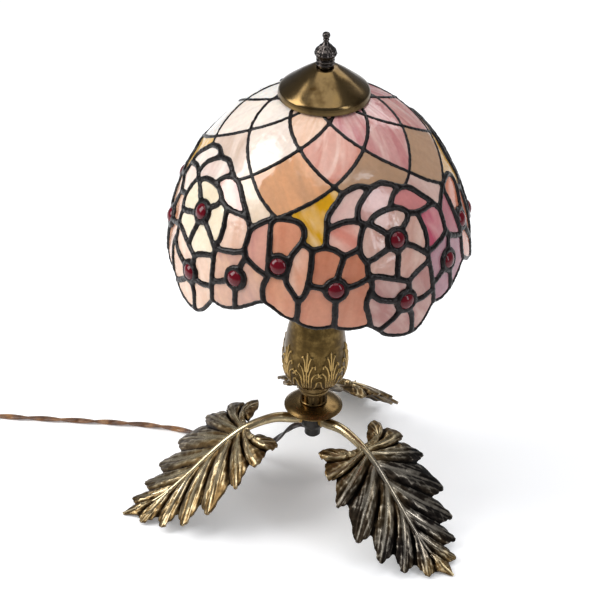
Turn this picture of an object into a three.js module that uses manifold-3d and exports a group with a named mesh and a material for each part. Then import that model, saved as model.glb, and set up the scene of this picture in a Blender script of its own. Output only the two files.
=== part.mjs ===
// Stained glass table lamp: a domed leaded-glass shade on a harp, over an antique brass body
// that stands on three cast leaves. Millimetres, +Z up. The origin is at table level, midway
// between the tip of the rear leaf and the front of the shade; +Y points towards the rear leaf.
import * as THREE from "three";
import { mergeVertices } from "three/addons/utils/BufferGeometryUtils.js";
import Module from "manifold-3d";

const wasm = await Module();
wasm.setup();

// ---- Driving dimensions ------------------------------------------------------------------

const GAP = 0.3; // between pieces that touch
const TURNING_GAP = 0.4; // radial, between a turning piece and what it turns on
const FLOOR_GAP = 0.1; // under a piece that lies on the table

// Shade
const SHADE_R = 125; // widest ring
const SHADE_WIDEST_Z = 262; // height of the widest ring
const SHADE_CROWN = 137; // from the widest ring up to where the curve would close
const SHADE_SHOULDER = 1.751; // exponent of the curve near the widest ring
const SHADE_TOP = 2.123; // exponent of the curve near the top
const APERTURE_R = 35; // hole in the top of the glass
const GLASS = 3; // glass with its solder
const REPEATS = 4; // the pattern repeats round the shade
const PATTERN_TURN = -42; // degrees from +X to the deepest scallop
const LATTICE_DROP = 92; // along the glass, from the aperture to the foot of the lattice
const EDGE_DROP = 177; // along the glass, from the aperture to the middle of the scallops
const SCALLOP = 15; // depth of the scallops either side of that
const RUBY_R = 7.5; // pressed cabochon at the centre of each large flower
const RUBY_H = 4;
const RUBY_DROP = 112; // along the glass, from the aperture

// Cap and finial
const CAP_R = 36.6;
const CAP_TOP_Z = 419.6;
const CAP_WALL = 1;
const WASHER_R = 6;
const WASHER = 0.8;
const FINIAL_H = 28.5;
const FINIAL_R = 8;

// Threaded pipe, harp and socket
const PIPE_R = 5;
const PIPE_BORE_R = 3.6;
const STUD_R = 3.1;
const STUD_LENGTH = 9;
const HARP_R = 1.9; // wire
const HARP_FOOT_X = 28; // from the lamp's axis to each foot
const HARP_FOOT_Z = 236;
const HARP_PLATE_R = 9;
const HARP_PLATE = 3;
const SLEEVE_R = 3.8;
const SLEEVE_LENGTH = 15;
const SLEEVE_TRAVEL = 18;
const SADDLE = 1.5; // thickness of the saddle's strip
const SADDLE_WIDTH = 14;
const SOCKET_R = 18;
const SOCKET_LENGTH = 50;
const SOCKET_WALL = 0.8;
const SOCKET_FOOT = 2; // how far the cap of the lampholder draws in at its foot
const SOCKET_FOOT_H = 6;
const CONTACT_R = 4;
const CONTACT = 1.5; // its thickness
const LINER = 1;
const SCREW_SHELL_WALL = 0.6;
const KEY_R = 1.8; // switch stem
const KEY_START = 5; // from the lamp's axis to the stem's inner end

// Bulb
const BULB_R = 30;
const BULB_LENGTH = 84; // glass
const BULB_SCREW_R = 13;
const BULB_GLASS = 1;
const BULB_CAP_WALL = 0.6;

// Body
const VASE_R = 27.4;
const VASE_Z = 118.3;
const VASE_H = 91.7;
const VASE_WALL = 2.6;
const CUP_R = 17;
const CUP = 3;
const NECK_R = 13.6;
const NECK_H = 9.7;
const RING_R = 11.9;
const RING_H = 11.3;
const FLUTES = 14;
const FLUTE = 0.7; // depth of a flute
const DISC_R = 25.3;
const DISC_EDGE = 2.3; // height of the disc's rim
const DISC_ROUND = 0.8; // the rim's rounded edges
const DISC_H = 6.3;
const NUT_H = 5;

// Hub, arms and leaves
const HUB_R = 11;
const HUB_Z = 70;
const HUB_H = 20;
const HUB_FLANGE = 4; // how far its flange stands out
const HUB_FLANGE_H = 2.5;
const OUTLET_R = 6.9;
const OUTLET_H = 9;
const OUTLET_FLOOR = 1.6;
const OUTLET_ROUND = 1.2; // its rounded lower edge
const ARM_Z = 80.5; // height of the arms' roots
const ARM_ROOT_R = 4.7; // arm's own radius where it leaves the hub
const ARM_END_R = 3.5; // and where it meets the leaf
const ARM_STUD_R = 3;
const ARM_STUD = 5; // length inside the hub
const COLLAR_R = 5.6;
const COLLAR = 2;
const LEAF_REACH = 170; // from the lamp's axis to a leaf's tip
const LEAF_BACK = 38; // from the lamp's axis to the back of a leaf's lobes
const LEAF_ROOT = 58; // from the lamp's axis to where arm and leaf meet
const LEAF_HALF_WIDTH = 56;
const LEAF_THICK = 4;
const LEAF_DROOP = 5.6; // of the leaf's edges below its rib
const LEAF_ANGLES = { rear: 90, left: 210, right: 330 }; // degrees from +X

// Cord
const CORD_D = 5;
const CORD_STEP = 12; // along the tube, between its rings
const COIL_X = -370;
const COIL_Y = 24;
const COIL_Z = 1.2; // the tie passes under the coil
const COIL_TURNS_WIDE = 4;
const COIL_LAYERS = 2;
const COIL_MEAN_R = 27.5;
const TURN_PITCH = 5.15; // from one turn's centre to the next
const TIE = 0.8;
const TIE_WIDTH = 6;
const PLUG = new THREE.Vector3(22, 27, 14); // plug body, with its pins along Y
const PLUG_Y = 100.6;
const RELIEF_LENGTH = 22;
const RELIEF_R = 5;
const PIN = new THREE.Vector3(1.5, 16, 6.3);
const PIN_ROOT = 8; // length inside the plug
const PIN_SPACING = 12.7;

// The lamp's own axis stands behind the front of the shade and before the rear leaf's tip.
const AXIS_Y = (SHADE_R - LEAF_REACH) / 2;

// ---- Materials ---------------------------------------------------------------------------

function metal(color, roughness) {
  return new THREE.MeshStandardMaterial({ color, roughness, metalness: 1 });
}

function plain(color, roughness) {
  return new THREE.MeshStandardMaterial({ color, roughness, metalness: 0 });
}

const MATERIALS = {
  antiqueBrass: () => metal(0x8a6a3a, 0.38),
  castBronze: () => metal(0x6e5832, 0.42),
  darkSteel: () => metal(0x2a2320, 0.55),
  satinBrass: () => metal(0x9a8a66, 0.3),
  nickel: () => metal(0x6f6c66, 0.2),
  aluminium: () => metal(0xc9c9c6, 0.35),
  creamGlass: () => plain(0xe3cdb4, 0.12),
  roseGlass: () => plain(0xcf9a90, 0.12),
  rubyGlass: () => plain(0x6a0a20, 0.08),
  solder: () => metal(0x1e1614, 0.35),
  opalGlass: () => plain(0xf4f1ea, 0.1),
  cardboard: () => plain(0x2c2621, 0.9),
  phenolic: () => plain(0x1a1716, 0.45),
  brownFlex: () => plain(0x6b4a2c, 0.4),
};

// ---- Shape helpers -----------------------------------------------------------------------

const SIDES = 24; // of a large turned piece

function flatArray(geometry) {
  const bare = geometry.index ? geometry.toNonIndexed() : geometry.clone();
  bare.deleteAttribute("normal");
  bare.deleteAttribute("uv");
  return mergeVertices(bare, 1e-4);
}

// Merges a geometry's shared vertices and turns its faces outwards.
function closed(geometry) {
  const merged = flatArray(geometry);
  const at = merged.attributes.position;
  const index = merged.index.array;
  const [a, b, c] = [0, 1, 2].map(() => new THREE.Vector3());
  let volume = 0;
  for (let i = 0; i < index.length; i += 3) {
    a.fromBufferAttribute(at, index[i]);
    b.fromBufferAttribute(at, index[i + 1]);
    c.fromBufferAttribute(at, index[i + 2]);
    volume += a.dot(b.cross(c));
  }
  if (volume < 0) {
    for (let i = 0; i < index.length; i += 3) {
      [index[i], index[i + 1]] = [index[i + 1], index[i]];
    }
  }
  return merged;
}

function solid(geometry) {
  const merged = closed(geometry);
  const vertProperties = new Float32Array(merged.attributes.position.array);
  const triVerts = new Uint32Array(merged.index.array);
  return new wasm.Manifold(new wasm.Mesh({ numProp: 3, vertProperties, triVerts }));
}

function geometryOf(manifold) {
  const mesh = manifold.getMesh();
  return new THREE.BufferGeometry()
    .setAttribute("position", new THREE.BufferAttribute(mesh.vertProperties, 3))
    .setIndex(new THREE.BufferAttribute(mesh.triVerts, 1));
}

function cut(geometry, ...tools) {
  return geometryOf(tools.reduce((left, tool) => left.subtract(solid(tool)), solid(geometry)));
}

function join(geometry, ...others) {
  return geometryOf(others.reduce((left, other) => left.add(solid(other)), solid(geometry)));
}

// A solid of revolution about Z from [radius, height] pairs that start and end on the axis or
// close on themselves.
function turned(profile, sides = SIDES) {
  const points = profile.map(([r, z]) => new THREE.Vector2(r, z));
  return closed(new THREE.LatheGeometry(points, sides).rotateX(Math.PI / 2));
}

function ringOf(inner, outer, low, high, sides = SIDES) {
  return turned([[inner, low], [outer, low], [outer, high], [inner, high], [inner, low]], sides);
}

function rodOf(r, low, high, sides = 24) {
  return turned([[0, low], [r, low], [r, high], [0, high]], sides);
}

// Points of a smooth curve through [radius, height] pairs.
function smooth(pairs, count) {
  const curve = new THREE.SplineCurve(pairs.map(([r, z]) => new THREE.Vector2(r, z)));
  return curve.getPoints(count).map((p) => [p.x, p.y]);
}

// A turned wall: the outer line, and the same line moved in by the wall.
function turnedWall(outer, wall, sides) {
  const inner = outer.map(([r, z], i) => {
    const [r0, z0] = outer[Math.max(i - 1, 0)];
    const [r1, z1] = outer[Math.min(i + 1, outer.length - 1)];
    const long = Math.hypot(r1 - r0, z1 - z0);
    return [r - (wall * (z1 - z0)) / long, z + (wall * (r1 - r0)) / long];
  });
  return turned([...outer, ...inner.reverse(), outer[0]], sides);
}

// A box of unit cells bent by a map from (0..1, 0..1, 0..1) to a point.
function bent(across, through, along, map) {
  const box = new THREE.BoxGeometry(1, 1, 1, across, through, along);
  const at = box.attributes.position;
  for (let i = 0; i < at.count; i++) {
    const p = map(at.getX(i) + 0.5, at.getY(i) + 0.5, at.getZ(i) + 0.5);
    at.setXYZ(i, p.x, p.y, p.z);
  }
  return closed(box);
}

// A tube of one radius along a curve. A full arc is drawn with two sides for each segment.
function tube(curve, radius, steps, sides) {
  const section = new THREE.Shape().absarc(0, 0, radius, 0, 2 * Math.PI);
  const options = { extrudePath: curve, steps, bevelEnabled: false, curveSegments: sides / 2 };
  return closed(new THREE.ExtrudeGeometry(section, options));
}

// A tube whose radius changes along a curve that lies in the XZ plane.
function taperedTube(curve, radiusAt, steps, sides) {
  const rod = new THREE.CylinderGeometry(1, 1, 1, sides, steps);
  const at = rod.attributes.position;
  for (let i = 0; i < at.count; i++) {
    const t = THREE.MathUtils.clamp(at.getY(i) + 0.5, 0, 1);
    const centre = curve.getPointAt(t);
    const along = curve.getTangentAt(t);
    const side = new THREE.Vector3(-along.z, 0, along.x);
    const radius = radiusAt(t);
    const y = centre.y + radius * at.getZ(i);
    centre.addScaledVector(side, radius * at.getX(i));
    at.setXYZ(i, centre.x, y, centre.z);
  }
  return closed(rod);
}

function smoothShape(start, arcs) {
  const shape = new THREE.Shape().moveTo(...start);
  arcs.forEach(([control, end]) => shape.quadraticCurveTo(...control, ...end));
  return shape;
}

function block(size, centre) {
  return new THREE.BoxGeometry(size.x, size.y, size.z).translate(centre.x, centre.y, centre.z);
}

function vec(x, y, z) {
  return new THREE.Vector3(x, y, z);
}

function radians(degrees) {
  return (degrees * Math.PI) / 180;
}

// ---- The part's tree ---------------------------------------------------------------------

const part = new THREE.Group();
const lamp = new THREE.Group(); // the lamp's own axis is this group's Z axis
lamp.position.y = AXIS_Y;
part.add(lamp);

function add(name, geometry, material, parent = lamp) {
  const mesh = new THREE.Mesh(geometry, MATERIALS[material]());
  mesh.name = name;
  parent.add(mesh);
  return mesh;
}

// ---- Leaves and arms ---------------------------------------------------------------------

// Line of the arm and of the leaf's rib, out from the lamp's axis and up from the table.
const RIB = new THREE.CatmullRomCurve3([
  vec(HUB_R, 0, ARM_Z),
  vec(HUB_R + 7, 0, ARM_Z + 0.15),
  vec(36, 0, ARM_Z + 2.5),
  vec(LEAF_ROOT, 0, 77.5),
  vec(76, 0, 66.5),
  vec(92, 0, 53),
  vec(110, 0, 36),
  vec(128, 0, 20.5),
  vec(146, 0, 9.5),
  vec(LEAF_REACH, 0, 2.6),
]);
const RIB_SAMPLES = 400;
const RIB_POINTS = RIB.getSpacedPoints(RIB_SAMPLES);

function ribHeight(x) {
  const i = RIB_POINTS.findIndex((p) => p.x >= x);
  if (i < 0) return RIB_POINTS[RIB_SAMPLES].z;
  if (i === 0) return ARM_Z;
  const [a, b] = [RIB_POINTS[i - 1], RIB_POINTS[i]];
  return a.z + ((b.z - a.z) * (x - a.x)) / (b.x - a.x);
}

// Share of the rib's length at which it is x from the lamp's axis.
function ribShare(x) {
  const i = Math.max(1, RIB_POINTS.findIndex((p) => p.x >= x));
  const [a, b] = [RIB_POINTS[i - 1], RIB_POINTS[i]];
  return (i - 1 + (x - a.x) / (b.x - a.x)) / RIB_SAMPLES;
}

// Part of the rib's line, between two distances from the lamp's axis.
function ribBetween(from, to) {
  const [start, end] = [ribShare(from), ribShare(to)];
  return {
    getPointAt: (t) => RIB.getPointAt(start + t * (end - start)),
    getTangentAt: (t) => RIB.getTangentAt(start + t * (end - start)),
  };
}

// Height of the blade's upper face: below the rib towards its edges.
function bladeHeight(x, y) {
  return ribHeight(x) - LEAF_DROOP * (y / LEAF_HALF_WIDTH) ** 2;
}

// Outline of one side, from above: [tip of the lobe], [notch after it]. The last lobe is the tip.
const LOBES = [
  [[40, 29], [50, 38]],
  [[61, 45], [67, 41]],
  [[79, 53], [88, 48]],
  [[104, LEAF_HALF_WIDTH], [112, 45]],
  [[124, 50], [129, 37]],
  [[140, 37], [144, 25]],
  [[155, 21], [158, 13]],
  [[LEAF_REACH, 0]],
];
const NECK = [56, 11]; // where the blade's back edge meets the arm

function leafOutline() {
  const side = (sign) => {
    const path = [];
    let at = NECK;
    for (const [tip, notch] of LOBES) {
      path.push([[(at[0] + tip[0]) / 2 - 3, Math.max(at[1], tip[1]) * sign], [tip[0], tip[1] * sign]]);
      if (notch) path.push([[(tip[0] + notch[0]) / 2 + 3, tip[1] * sign], [notch[0], notch[1] * sign]]);
      at = notch;
    }
    return path;
  };
  const left = side(1);
  const right = side(-1);
  const start = [NECK[0], NECK[1]];
  const back = [];
  for (let i = right.length - 1; i >= 0; i--) {
    const end = i > 0 ? right[i - 1][1] : [NECK[0], -NECK[1]];
    back.push([right[i][0], end]);
  }
  const shape = smoothShape(start, [...left, ...back]);
  // The arm's end is square to its slope, so the blade stays clear of its upper corner.
  const clear = LEAF_ROOT + GAP + 0.6 * ARM_END_R;
  shape.lineTo(clear, -ARM_END_R - GAP);
  shape.lineTo(clear, ARM_END_R + GAP);
  return shape;
}

function leafGeometry() {
  const width = 2 * LEAF_HALF_WIDTH + 8;
  const length = LEAF_REACH - LEAF_BACK + 8;
  const blade = bent(10, 1, 14, (u, v, w) => {
    const x = LEAF_BACK - 4 + w * length;
    const y = (u - 0.5) * width;
    return vec(x, y, bladeHeight(x, y) - (1 - v) * LEAF_THICK);
  });
  const outline = new THREE.ExtrudeGeometry(leafOutline(), {
    depth: 2 * ARM_Z,
    bevelEnabled: false,
    curveSegments: 2,
  });
  const ribEnd = LEAF_REACH - 14;
  const ribLine = ribBetween(LEAF_ROOT + GAP, ribEnd);
  const rib = taperedTube(ribLine, (t) => ARM_END_R * (1 - t) + 1.2 * t, 9, 10);
  const standing = block(vec(400, 400, 40), vec(0, 0, -20));
  const cast = solid(blade).intersect(solid(outline)).add(solid(rib));
  return geometryOf(cast.subtract(solid(standing)));
}

function armGeometry() {
  const from = HUB_R + COLLAR + 2 * GAP;
  const line = ribBetween(from, LEAF_ROOT);
  const arm = taperedTube(line, (t) => ARM_ROOT_R * (1 - t) + ARM_END_R * t, 8, 12);
  const studFrom = HUB_R - ARM_STUD;
  const stud = rodOf(ARM_STUD_R, studFrom, from + 2, 12);
  return join(arm, stud.rotateY(Math.PI / 2).translate(0, 0, ARM_Z));
}

const leafShape = leafGeometry();
const armShape = armGeometry();
const collarShape = ringOf(ARM_STUD_R + GAP, COLLAR_R, HUB_R + GAP, HUB_R + GAP + COLLAR, 20)
  .rotateY(Math.PI / 2)
  .translate(0, 0, ARM_Z);

for (const [place, angle] of Object.entries(LEAF_ANGLES)) {
  const limb = new THREE.Group();
  limb.rotation.z = radians(angle);
  lamp.add(limb);
  add("leaf_" + place, leafShape, "castBronze", limb);
  add("arm_" + place, armShape, "antiqueBrass", limb);
  add("arm_collar_" + place, collarShape, "satinBrass", limb);
}

// ---- Hub and what hangs under it ----------------------------------------------------------

const PIPE_HOLE_R = PIPE_R + GAP;
const DISC_Z = HUB_Z + HUB_H + GAP;
const OUTLET_TOP = HUB_Z - GAP;
const OUTLET_Z = OUTLET_TOP - OUTLET_H;
const CORD_EXIT_Z = OUTLET_Z + OUTLET_H / 2;
const CORD_HEADING = 155.6; // degrees from +X

function hubGeometry() {
  const flangeR = HUB_R + HUB_FLANGE;
  const hub = turned([
    [PIPE_HOLE_R, HUB_Z],
    [HUB_R - 2, HUB_Z],
    [HUB_R, HUB_Z + 4],
    [HUB_R, HUB_Z + HUB_H - HUB_FLANGE_H - 1],
    [flangeR, HUB_Z + HUB_H - HUB_FLANGE_H],
    [flangeR, HUB_Z + HUB_H],
    [PIPE_HOLE_R, HUB_Z + HUB_H],
    [PIPE_HOLE_R, HUB_Z],
  ]);
  const holes = Object.values(LEAF_ANGLES).map((angle) =>
    rodOf(ARM_STUD_R + GAP, HUB_R - ARM_STUD - GAP, HUB_R + 2, 20)
      .rotateY(Math.PI / 2)
      .translate(0, 0, ARM_Z)
      .rotateZ(radians(angle)),
  );
  return cut(hub, ...holes);
}

function outletGeometry() {
  const bottomR = OUTLET_R - OUTLET_ROUND;
  const cap = turned([
    [0, OUTLET_Z],
    [bottomR, OUTLET_Z],
    [OUTLET_R, OUTLET_Z + OUTLET_ROUND],
    [OUTLET_R, OUTLET_TOP],
    [PIPE_HOLE_R, OUTLET_TOP],
    [PIPE_HOLE_R, OUTLET_Z + OUTLET_FLOOR],
    [0, OUTLET_Z + OUTLET_FLOOR],
  ]);
  const hole = rodOf(CORD_D / 2 + GAP, 3, OUTLET_R + 2, 16)
    .rotateY(Math.PI / 2)
    .translate(0, 0, CORD_EXIT_Z)
    .rotateZ(radians(CORD_HEADING));
  return cut(cap, hole);
}

add("hub", hubGeometry(), "darkSteel");
add("cord_outlet_nut", outletGeometry(), "darkSteel");

// ---- Turned body --------------------------------------------------------------------------

const RING_Z = DISC_Z + DISC_H + GAP;
const NECK_Z = RING_Z + RING_H + GAP;
const VASE_TOP = VASE_Z + VASE_H;
const CUP_Z = VASE_TOP + GAP;
const NUT_Z = CUP_Z + CUP + GAP;
const SADDLE_Z = NUT_Z + NUT_H + GAP;
const SOCKET_Z = SADDLE_Z + SADDLE + GAP;
const PIPE_LOW = CORD_EXIT_Z + CORD_D / 2 + 1;
const PIPE_HIGH = SOCKET_Z + SOCKET_FOOT_H;

add(
  "base_disc",
  turned([
    [PIPE_HOLE_R, DISC_Z],
    [DISC_R - DISC_ROUND, DISC_Z],
    [DISC_R, DISC_Z + DISC_ROUND],
    [DISC_R, DISC_Z + DISC_EDGE - DISC_ROUND],
    [DISC_R - DISC_ROUND, DISC_Z + DISC_EDGE],
    [DISC_R - 4, DISC_Z + DISC_EDGE + 1.6],
    [RING_R + 4, DISC_Z + DISC_H - 0.6],
    [RING_R, DISC_Z + DISC_H],
    [PIPE_HOLE_R, DISC_Z + DISC_H],
    [PIPE_HOLE_R, DISC_Z],
  ]),
  "antiqueBrass",
);

function flutedRing() {
  const shape = new THREE.Shape();
  const steps = FLUTES * 6;
  for (let i = 0; i < steps; i++) {
    const turn = (2 * Math.PI * i) / steps;
    const depth = i % 6 < 2 ? FLUTE : 0;
    const at = [(RING_R - depth) * Math.cos(turn), (RING_R - depth) * Math.sin(turn)];
    if (i) shape.lineTo(...at);
    else shape.moveTo(...at);
  }
  shape.holes.push(new THREE.Path().absarc(0, 0, PIPE_HOLE_R, 0, 2 * Math.PI));
  const options = { depth: RING_H, bevelEnabled: false, curveSegments: 14 };
  return closed(new THREE.ExtrudeGeometry(shape, options).translate(0, 0, RING_Z));
}

add("fluted_ring", flutedRing(), "antiqueBrass");

const NECK_TOP = NECK_Z + NECK_H - GAP;
add(
  "vase_neck",
  turned([
    [PIPE_HOLE_R, NECK_Z],
    [NECK_R, NECK_Z],
    [NECK_R + 0.5, NECK_Z + 1],
    [NECK_R, NECK_Z + 2],
    [NECK_R, NECK_TOP],
    [PIPE_HOLE_R, NECK_TOP],
    [PIPE_HOLE_R, NECK_Z],
  ]),
  "antiqueBrass",
);

// The vase's outer line, as shares of its height and of its widest radius.
function vaseOuter() {
  const line = [[0.51, 0], [0.7, 0.02], [0.88, 0.08], [0.97, 0.155], [1, 0.235], [0.993, 0.31],
    [0.97, 0.38], [0.93, 0.48], [0.87, 0.59], [0.765, 0.72], [0.64, 0.85], [0.55, 0.945], [0.52, 1]];
  return smooth(line.map(([r, z]) => [r * VASE_R, VASE_Z + z * VASE_H]), 11);
}

function vaseGeometry() {
  const outer = vaseOuter();
  const floor = VASE_Z + 3;
  const inner = outer
    .filter(([, z]) => z > floor + 1)
    .map(([r, z]) => [r - VASE_WALL, z])
    .reverse();
  const profile = [[PIPE_HOLE_R, VASE_Z], ...outer, ...inner, [PIPE_HOLE_R, floor], [PIPE_HOLE_R, VASE_Z]];
  return turned(profile);
}

add("vase_body", vaseGeometry(), "antiqueBrass");
add(
  "vase_cup",
  turned([
    [PIPE_HOLE_R, CUP_Z],
    [CUP_R - 1, CUP_Z],
    [CUP_R, CUP_Z + 1],
    [CUP_R - 1.5, CUP_Z + CUP],
    [PIPE_HOLE_R, CUP_Z + CUP],
    [PIPE_HOLE_R, CUP_Z],
  ]),
  "antiqueBrass",
);
const hexagon = rodOf(PIPE_R + 4, NUT_Z, NUT_Z + NUT_H, 6);
const nutHole = rodOf(PIPE_HOLE_R, NUT_Z - 1, NUT_Z + NUT_H + 1);
add("pipe_nut", cut(hexagon, nutHole), "satinBrass");
add("threaded_pipe", ringOf(PIPE_BORE_R, PIPE_R, PIPE_LOW, PIPE_HIGH, 24), "darkSteel");

// ---- Harp ---------------------------------------------------------------------------------

const CAP_UNDER_Z = CAP_TOP_Z - CAP_WALL;
const HARP_TOP = CAP_UNDER_Z - GAP;
const EAR_R = 1.6;
const EAR_TOP = HARP_FOOT_Z - GAP;

function saddleGeometry() {
  const strip = block(vec(2 * HARP_FOOT_X, SADDLE_WIDTH, SADDLE), vec(0, 0, SADDLE_Z + SADDLE / 2));
  const ear = (side) =>
    rodOf(EAR_R, SADDLE_Z + SADDLE / 2, EAR_TOP, 10).translate(side * HARP_FOOT_X, 0, 0);
  const hole = rodOf(PIPE_HOLE_R, SADDLE_Z - 1, SADDLE_Z + SADDLE + 1, 24);
  return cut(join(strip, ear(1), ear(-1)), hole);
}

function harpGeometry() {
  const plateLow = HARP_TOP - HARP_PLATE;
  // The legs stay straight for as far as the sleeves slide up them.
  const straight = HARP_FOOT_Z + SLEEVE_LENGTH / 2 + SLEEVE_TRAVEL + 1;
  const side = [
    [HARP_FOOT_X, HARP_FOOT_Z],
    [HARP_FOOT_X, straight],
    [HARP_FOOT_X, straight + 2],
    [36, 292],
    [45, 322],
    [46, 344],
    [38, 368],
    [23, 388],
    [12, plateLow - 8],
  ];
  const points = [
    ...side.map(([x, z]) => vec(x, 0, z)),
    vec(0, 0, plateLow),
    ...side.reverse().map(([x, z]) => vec(-x, 0, z)),
  ];
  const wire = tube(new THREE.CatmullRomCurve3(points), HARP_R, 38, 10);
  const plate = rodOf(HARP_PLATE_R, plateLow - 1, HARP_TOP, 24);
  const stud = rodOf(STUD_R, HARP_TOP - 1, HARP_TOP + GAP + CAP_WALL + WASHER + STUD_LENGTH, 16);
  return join(wire, plate, stud);
}

const SLEEVE_LOW = HARP_FOOT_Z - SLEEVE_LENGTH / 2;
add("harp_saddle", saddleGeometry(), "satinBrass");
add("harp", harpGeometry(), "satinBrass");
for (const [place, side] of [["left", -1], ["right", 1]]) {
  const sleeve = ringOf(HARP_R + TURNING_GAP, SLEEVE_R, SLEEVE_LOW, SLEEVE_LOW + SLEEVE_LENGTH, 16);
  add("harp_sleeve_" + place, sleeve.translate(side * HARP_FOOT_X, 0, 0), "satinBrass");
}

// ---- Socket -------------------------------------------------------------------------------

const SOCKET_CAP_H = 15;
const SHELL_Z = SOCKET_Z + SOCKET_CAP_H + GAP;
const SHELL_TOP = SOCKET_Z + SOCKET_LENGTH;
const LINER_R = SOCKET_R - SOCKET_WALL - GAP;
const CORE_R = LINER_R - LINER - GAP;
const CORE_H = 9;
const CORE_TOP = SHELL_Z + CORE_H;
const SCREW_R = BULB_SCREW_R + TURNING_GAP + SCREW_SHELL_WALL;
const SCREW_Z = CORE_TOP + GAP;
const KEY_Z = SHELL_Z + CORE_H / 2;
const KEY_KNOB_R = 5;
const KEY_REACH = 34;

add(
  "socket_cap",
  turned([
    [PIPE_HOLE_R, SOCKET_Z],
    [PIPE_R + 4, SOCKET_Z],
    [SOCKET_R - SOCKET_FOOT, SOCKET_Z + SOCKET_FOOT_H],
    [SOCKET_R, SOCKET_Z + SOCKET_CAP_H],
    [SOCKET_R - SOCKET_WALL, SOCKET_Z + SOCKET_CAP_H],
    [SOCKET_R - SOCKET_FOOT - SOCKET_WALL, SOCKET_Z + SOCKET_FOOT_H + 1],
    [PIPE_HOLE_R, SOCKET_Z + 2],
    [PIPE_HOLE_R, SOCKET_Z],
  ]),
  "satinBrass",
);

// Cuts the switch stem's way out through a wall.
function withKeyHole(geometry) {
  const hole = rodOf(KEY_R + TURNING_GAP, KEY_START, SOCKET_R + 2, 16)
    .rotateX(Math.PI / 2)
    .translate(0, 0, KEY_Z);
  return cut(geometry, hole);
}

const shell = ringOf(SOCKET_R - SOCKET_WALL, SOCKET_R, SHELL_Z, SHELL_TOP);
const liner = ringOf(LINER_R - LINER, LINER_R, SHELL_Z, SHELL_TOP - 1);
const screwShell = ringOf(SCREW_R - SCREW_SHELL_WALL, SCREW_R, SCREW_Z, SHELL_TOP - 2, 32);
add("socket_shell", withKeyHole(shell), "satinBrass");
add("socket_liner", withKeyHole(liner), "cardboard");
add("socket_core", withKeyHole(rodOf(CORE_R, SHELL_Z, CORE_TOP, 32)), "phenolic");
add("socket_screw_shell", screwShell, "aluminium");
add("socket_contact", rodOf(CONTACT_R, SCREW_Z, SCREW_Z + CONTACT, 16), "satinBrass");

function keyGeometry() {
  const stem = rodOf(KEY_R, KEY_START + GAP, KEY_REACH - 6, 12);
  const knob = turned([
    [0, KEY_REACH - 8],
    [KEY_KNOB_R - 1.5, KEY_REACH - 8],
    [KEY_KNOB_R, KEY_REACH - 5],
    [KEY_KNOB_R - 0.5, KEY_REACH],
    [0, KEY_REACH + 0.6],
  ], 16);
  const wing = block(vec(2 * KEY_KNOB_R + 3, 3, 7), vec(0, 0, KEY_REACH - 4));
  return join(stem, knob, wing).rotateX(Math.PI / 2).translate(0, 0, KEY_Z);
}

add("switch_key", keyGeometry(), "phenolic");

// ---- Bulb ---------------------------------------------------------------------------------

const BULB_CAP_Z = SCREW_Z + CONTACT + GAP;
const BULB_CAP_TOP = SHELL_TOP + 3;
const BULB_NECK_R = BULB_SCREW_R - 1;

function bulbCap() {
  const low = BULB_CAP_Z;
  return turned([
    [0, low],
    [CONTACT_R, low],
    [BULB_SCREW_R, low + 5],
    [BULB_SCREW_R, BULB_CAP_TOP],
    [BULB_SCREW_R - BULB_CAP_WALL, BULB_CAP_TOP],
    [BULB_SCREW_R - BULB_CAP_WALL, low + 6],
    [CONTACT_R, low + 2],
    [0, low + 2],
  ], 32);
}

function bulbGlobe() {
  const low = BULB_CAP_Z + 8;
  const top = BULB_CAP_TOP + BULB_LENGTH;
  const neckR = BULB_NECK_R - 0.6;
  const widest = top - BULB_R;
  const outer = smooth([
    [neckR, low],
    [neckR, BULB_CAP_TOP + 4],
    [BULB_R * 0.66, BULB_CAP_TOP + 22],
    [BULB_R * 0.95, widest - 10],
    [BULB_R, widest],
    [BULB_R * 0.87, widest + BULB_R * 0.5],
    [BULB_R * 0.5, widest + BULB_R * 0.87],
  ], 8);
  const inner = outer.map(([r, z]) => [r - BULB_GLASS, z]).reverse();
  return turned([...outer, [0, top], [0, top - BULB_GLASS], ...inner, outer[0]], 20);
}

add("bulb_cap", bulbCap(), "aluminium");
add("bulb_globe", bulbGlobe(), "opalGlass");

// ---- Shade --------------------------------------------------------------------------------

function shadeRadius(z) {
  const rise = z - SHADE_WIDEST_Z;
  if (rise < 0) return SHADE_R * (1 - (rise / (4 * SHADE_CROWN)) ** 2);
  return SHADE_R * (1 - Math.min(rise / SHADE_CROWN, 1) ** SHADE_SHOULDER) ** (1 / SHADE_TOP);
}

// The glass's outer line from the aperture down, with each point's distance along it.
function shadeLine() {
  const share = (1 - (APERTURE_R / SHADE_R) ** SHADE_TOP) ** (1 / SHADE_SHOULDER);
  const top = SHADE_WIDEST_Z + SHADE_CROWN * share;
  const step = 0.25;
  const line = [{ r: shadeRadius(top), z: top, drop: 0 }];
  for (let z = top - step; z > 0 && line.at(-1).drop < EDGE_DROP + 2 * SCALLOP; z -= step) {
    const last = line.at(-1);
    const r = shadeRadius(z);
    line.push({ r, z, drop: last.drop + Math.hypot(r - last.r, z - last.z) });
  }
  return line;
}

const SHADE_LINE = shadeLine();

// A point on the glass, some way in from its outer face.
function onShade(turn, drop, inwards) {
  const i = Math.max(1, SHADE_LINE.findIndex((p) => p.drop >= drop));
  const [a, b] = [SHADE_LINE[i - 1], SHADE_LINE[i]];
  const share = (drop - a.drop) / (b.drop - a.drop);
  const long = Math.hypot(b.r - a.r, b.z - a.z);
  const r = a.r + share * (b.r - a.r) + (inwards * (b.z - a.z)) / long;
  const z = a.z + share * (b.z - a.z) - (inwards * (b.r - a.r)) / long;
  return vec(r * Math.cos(turn), r * Math.sin(turn), z);
}

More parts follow.
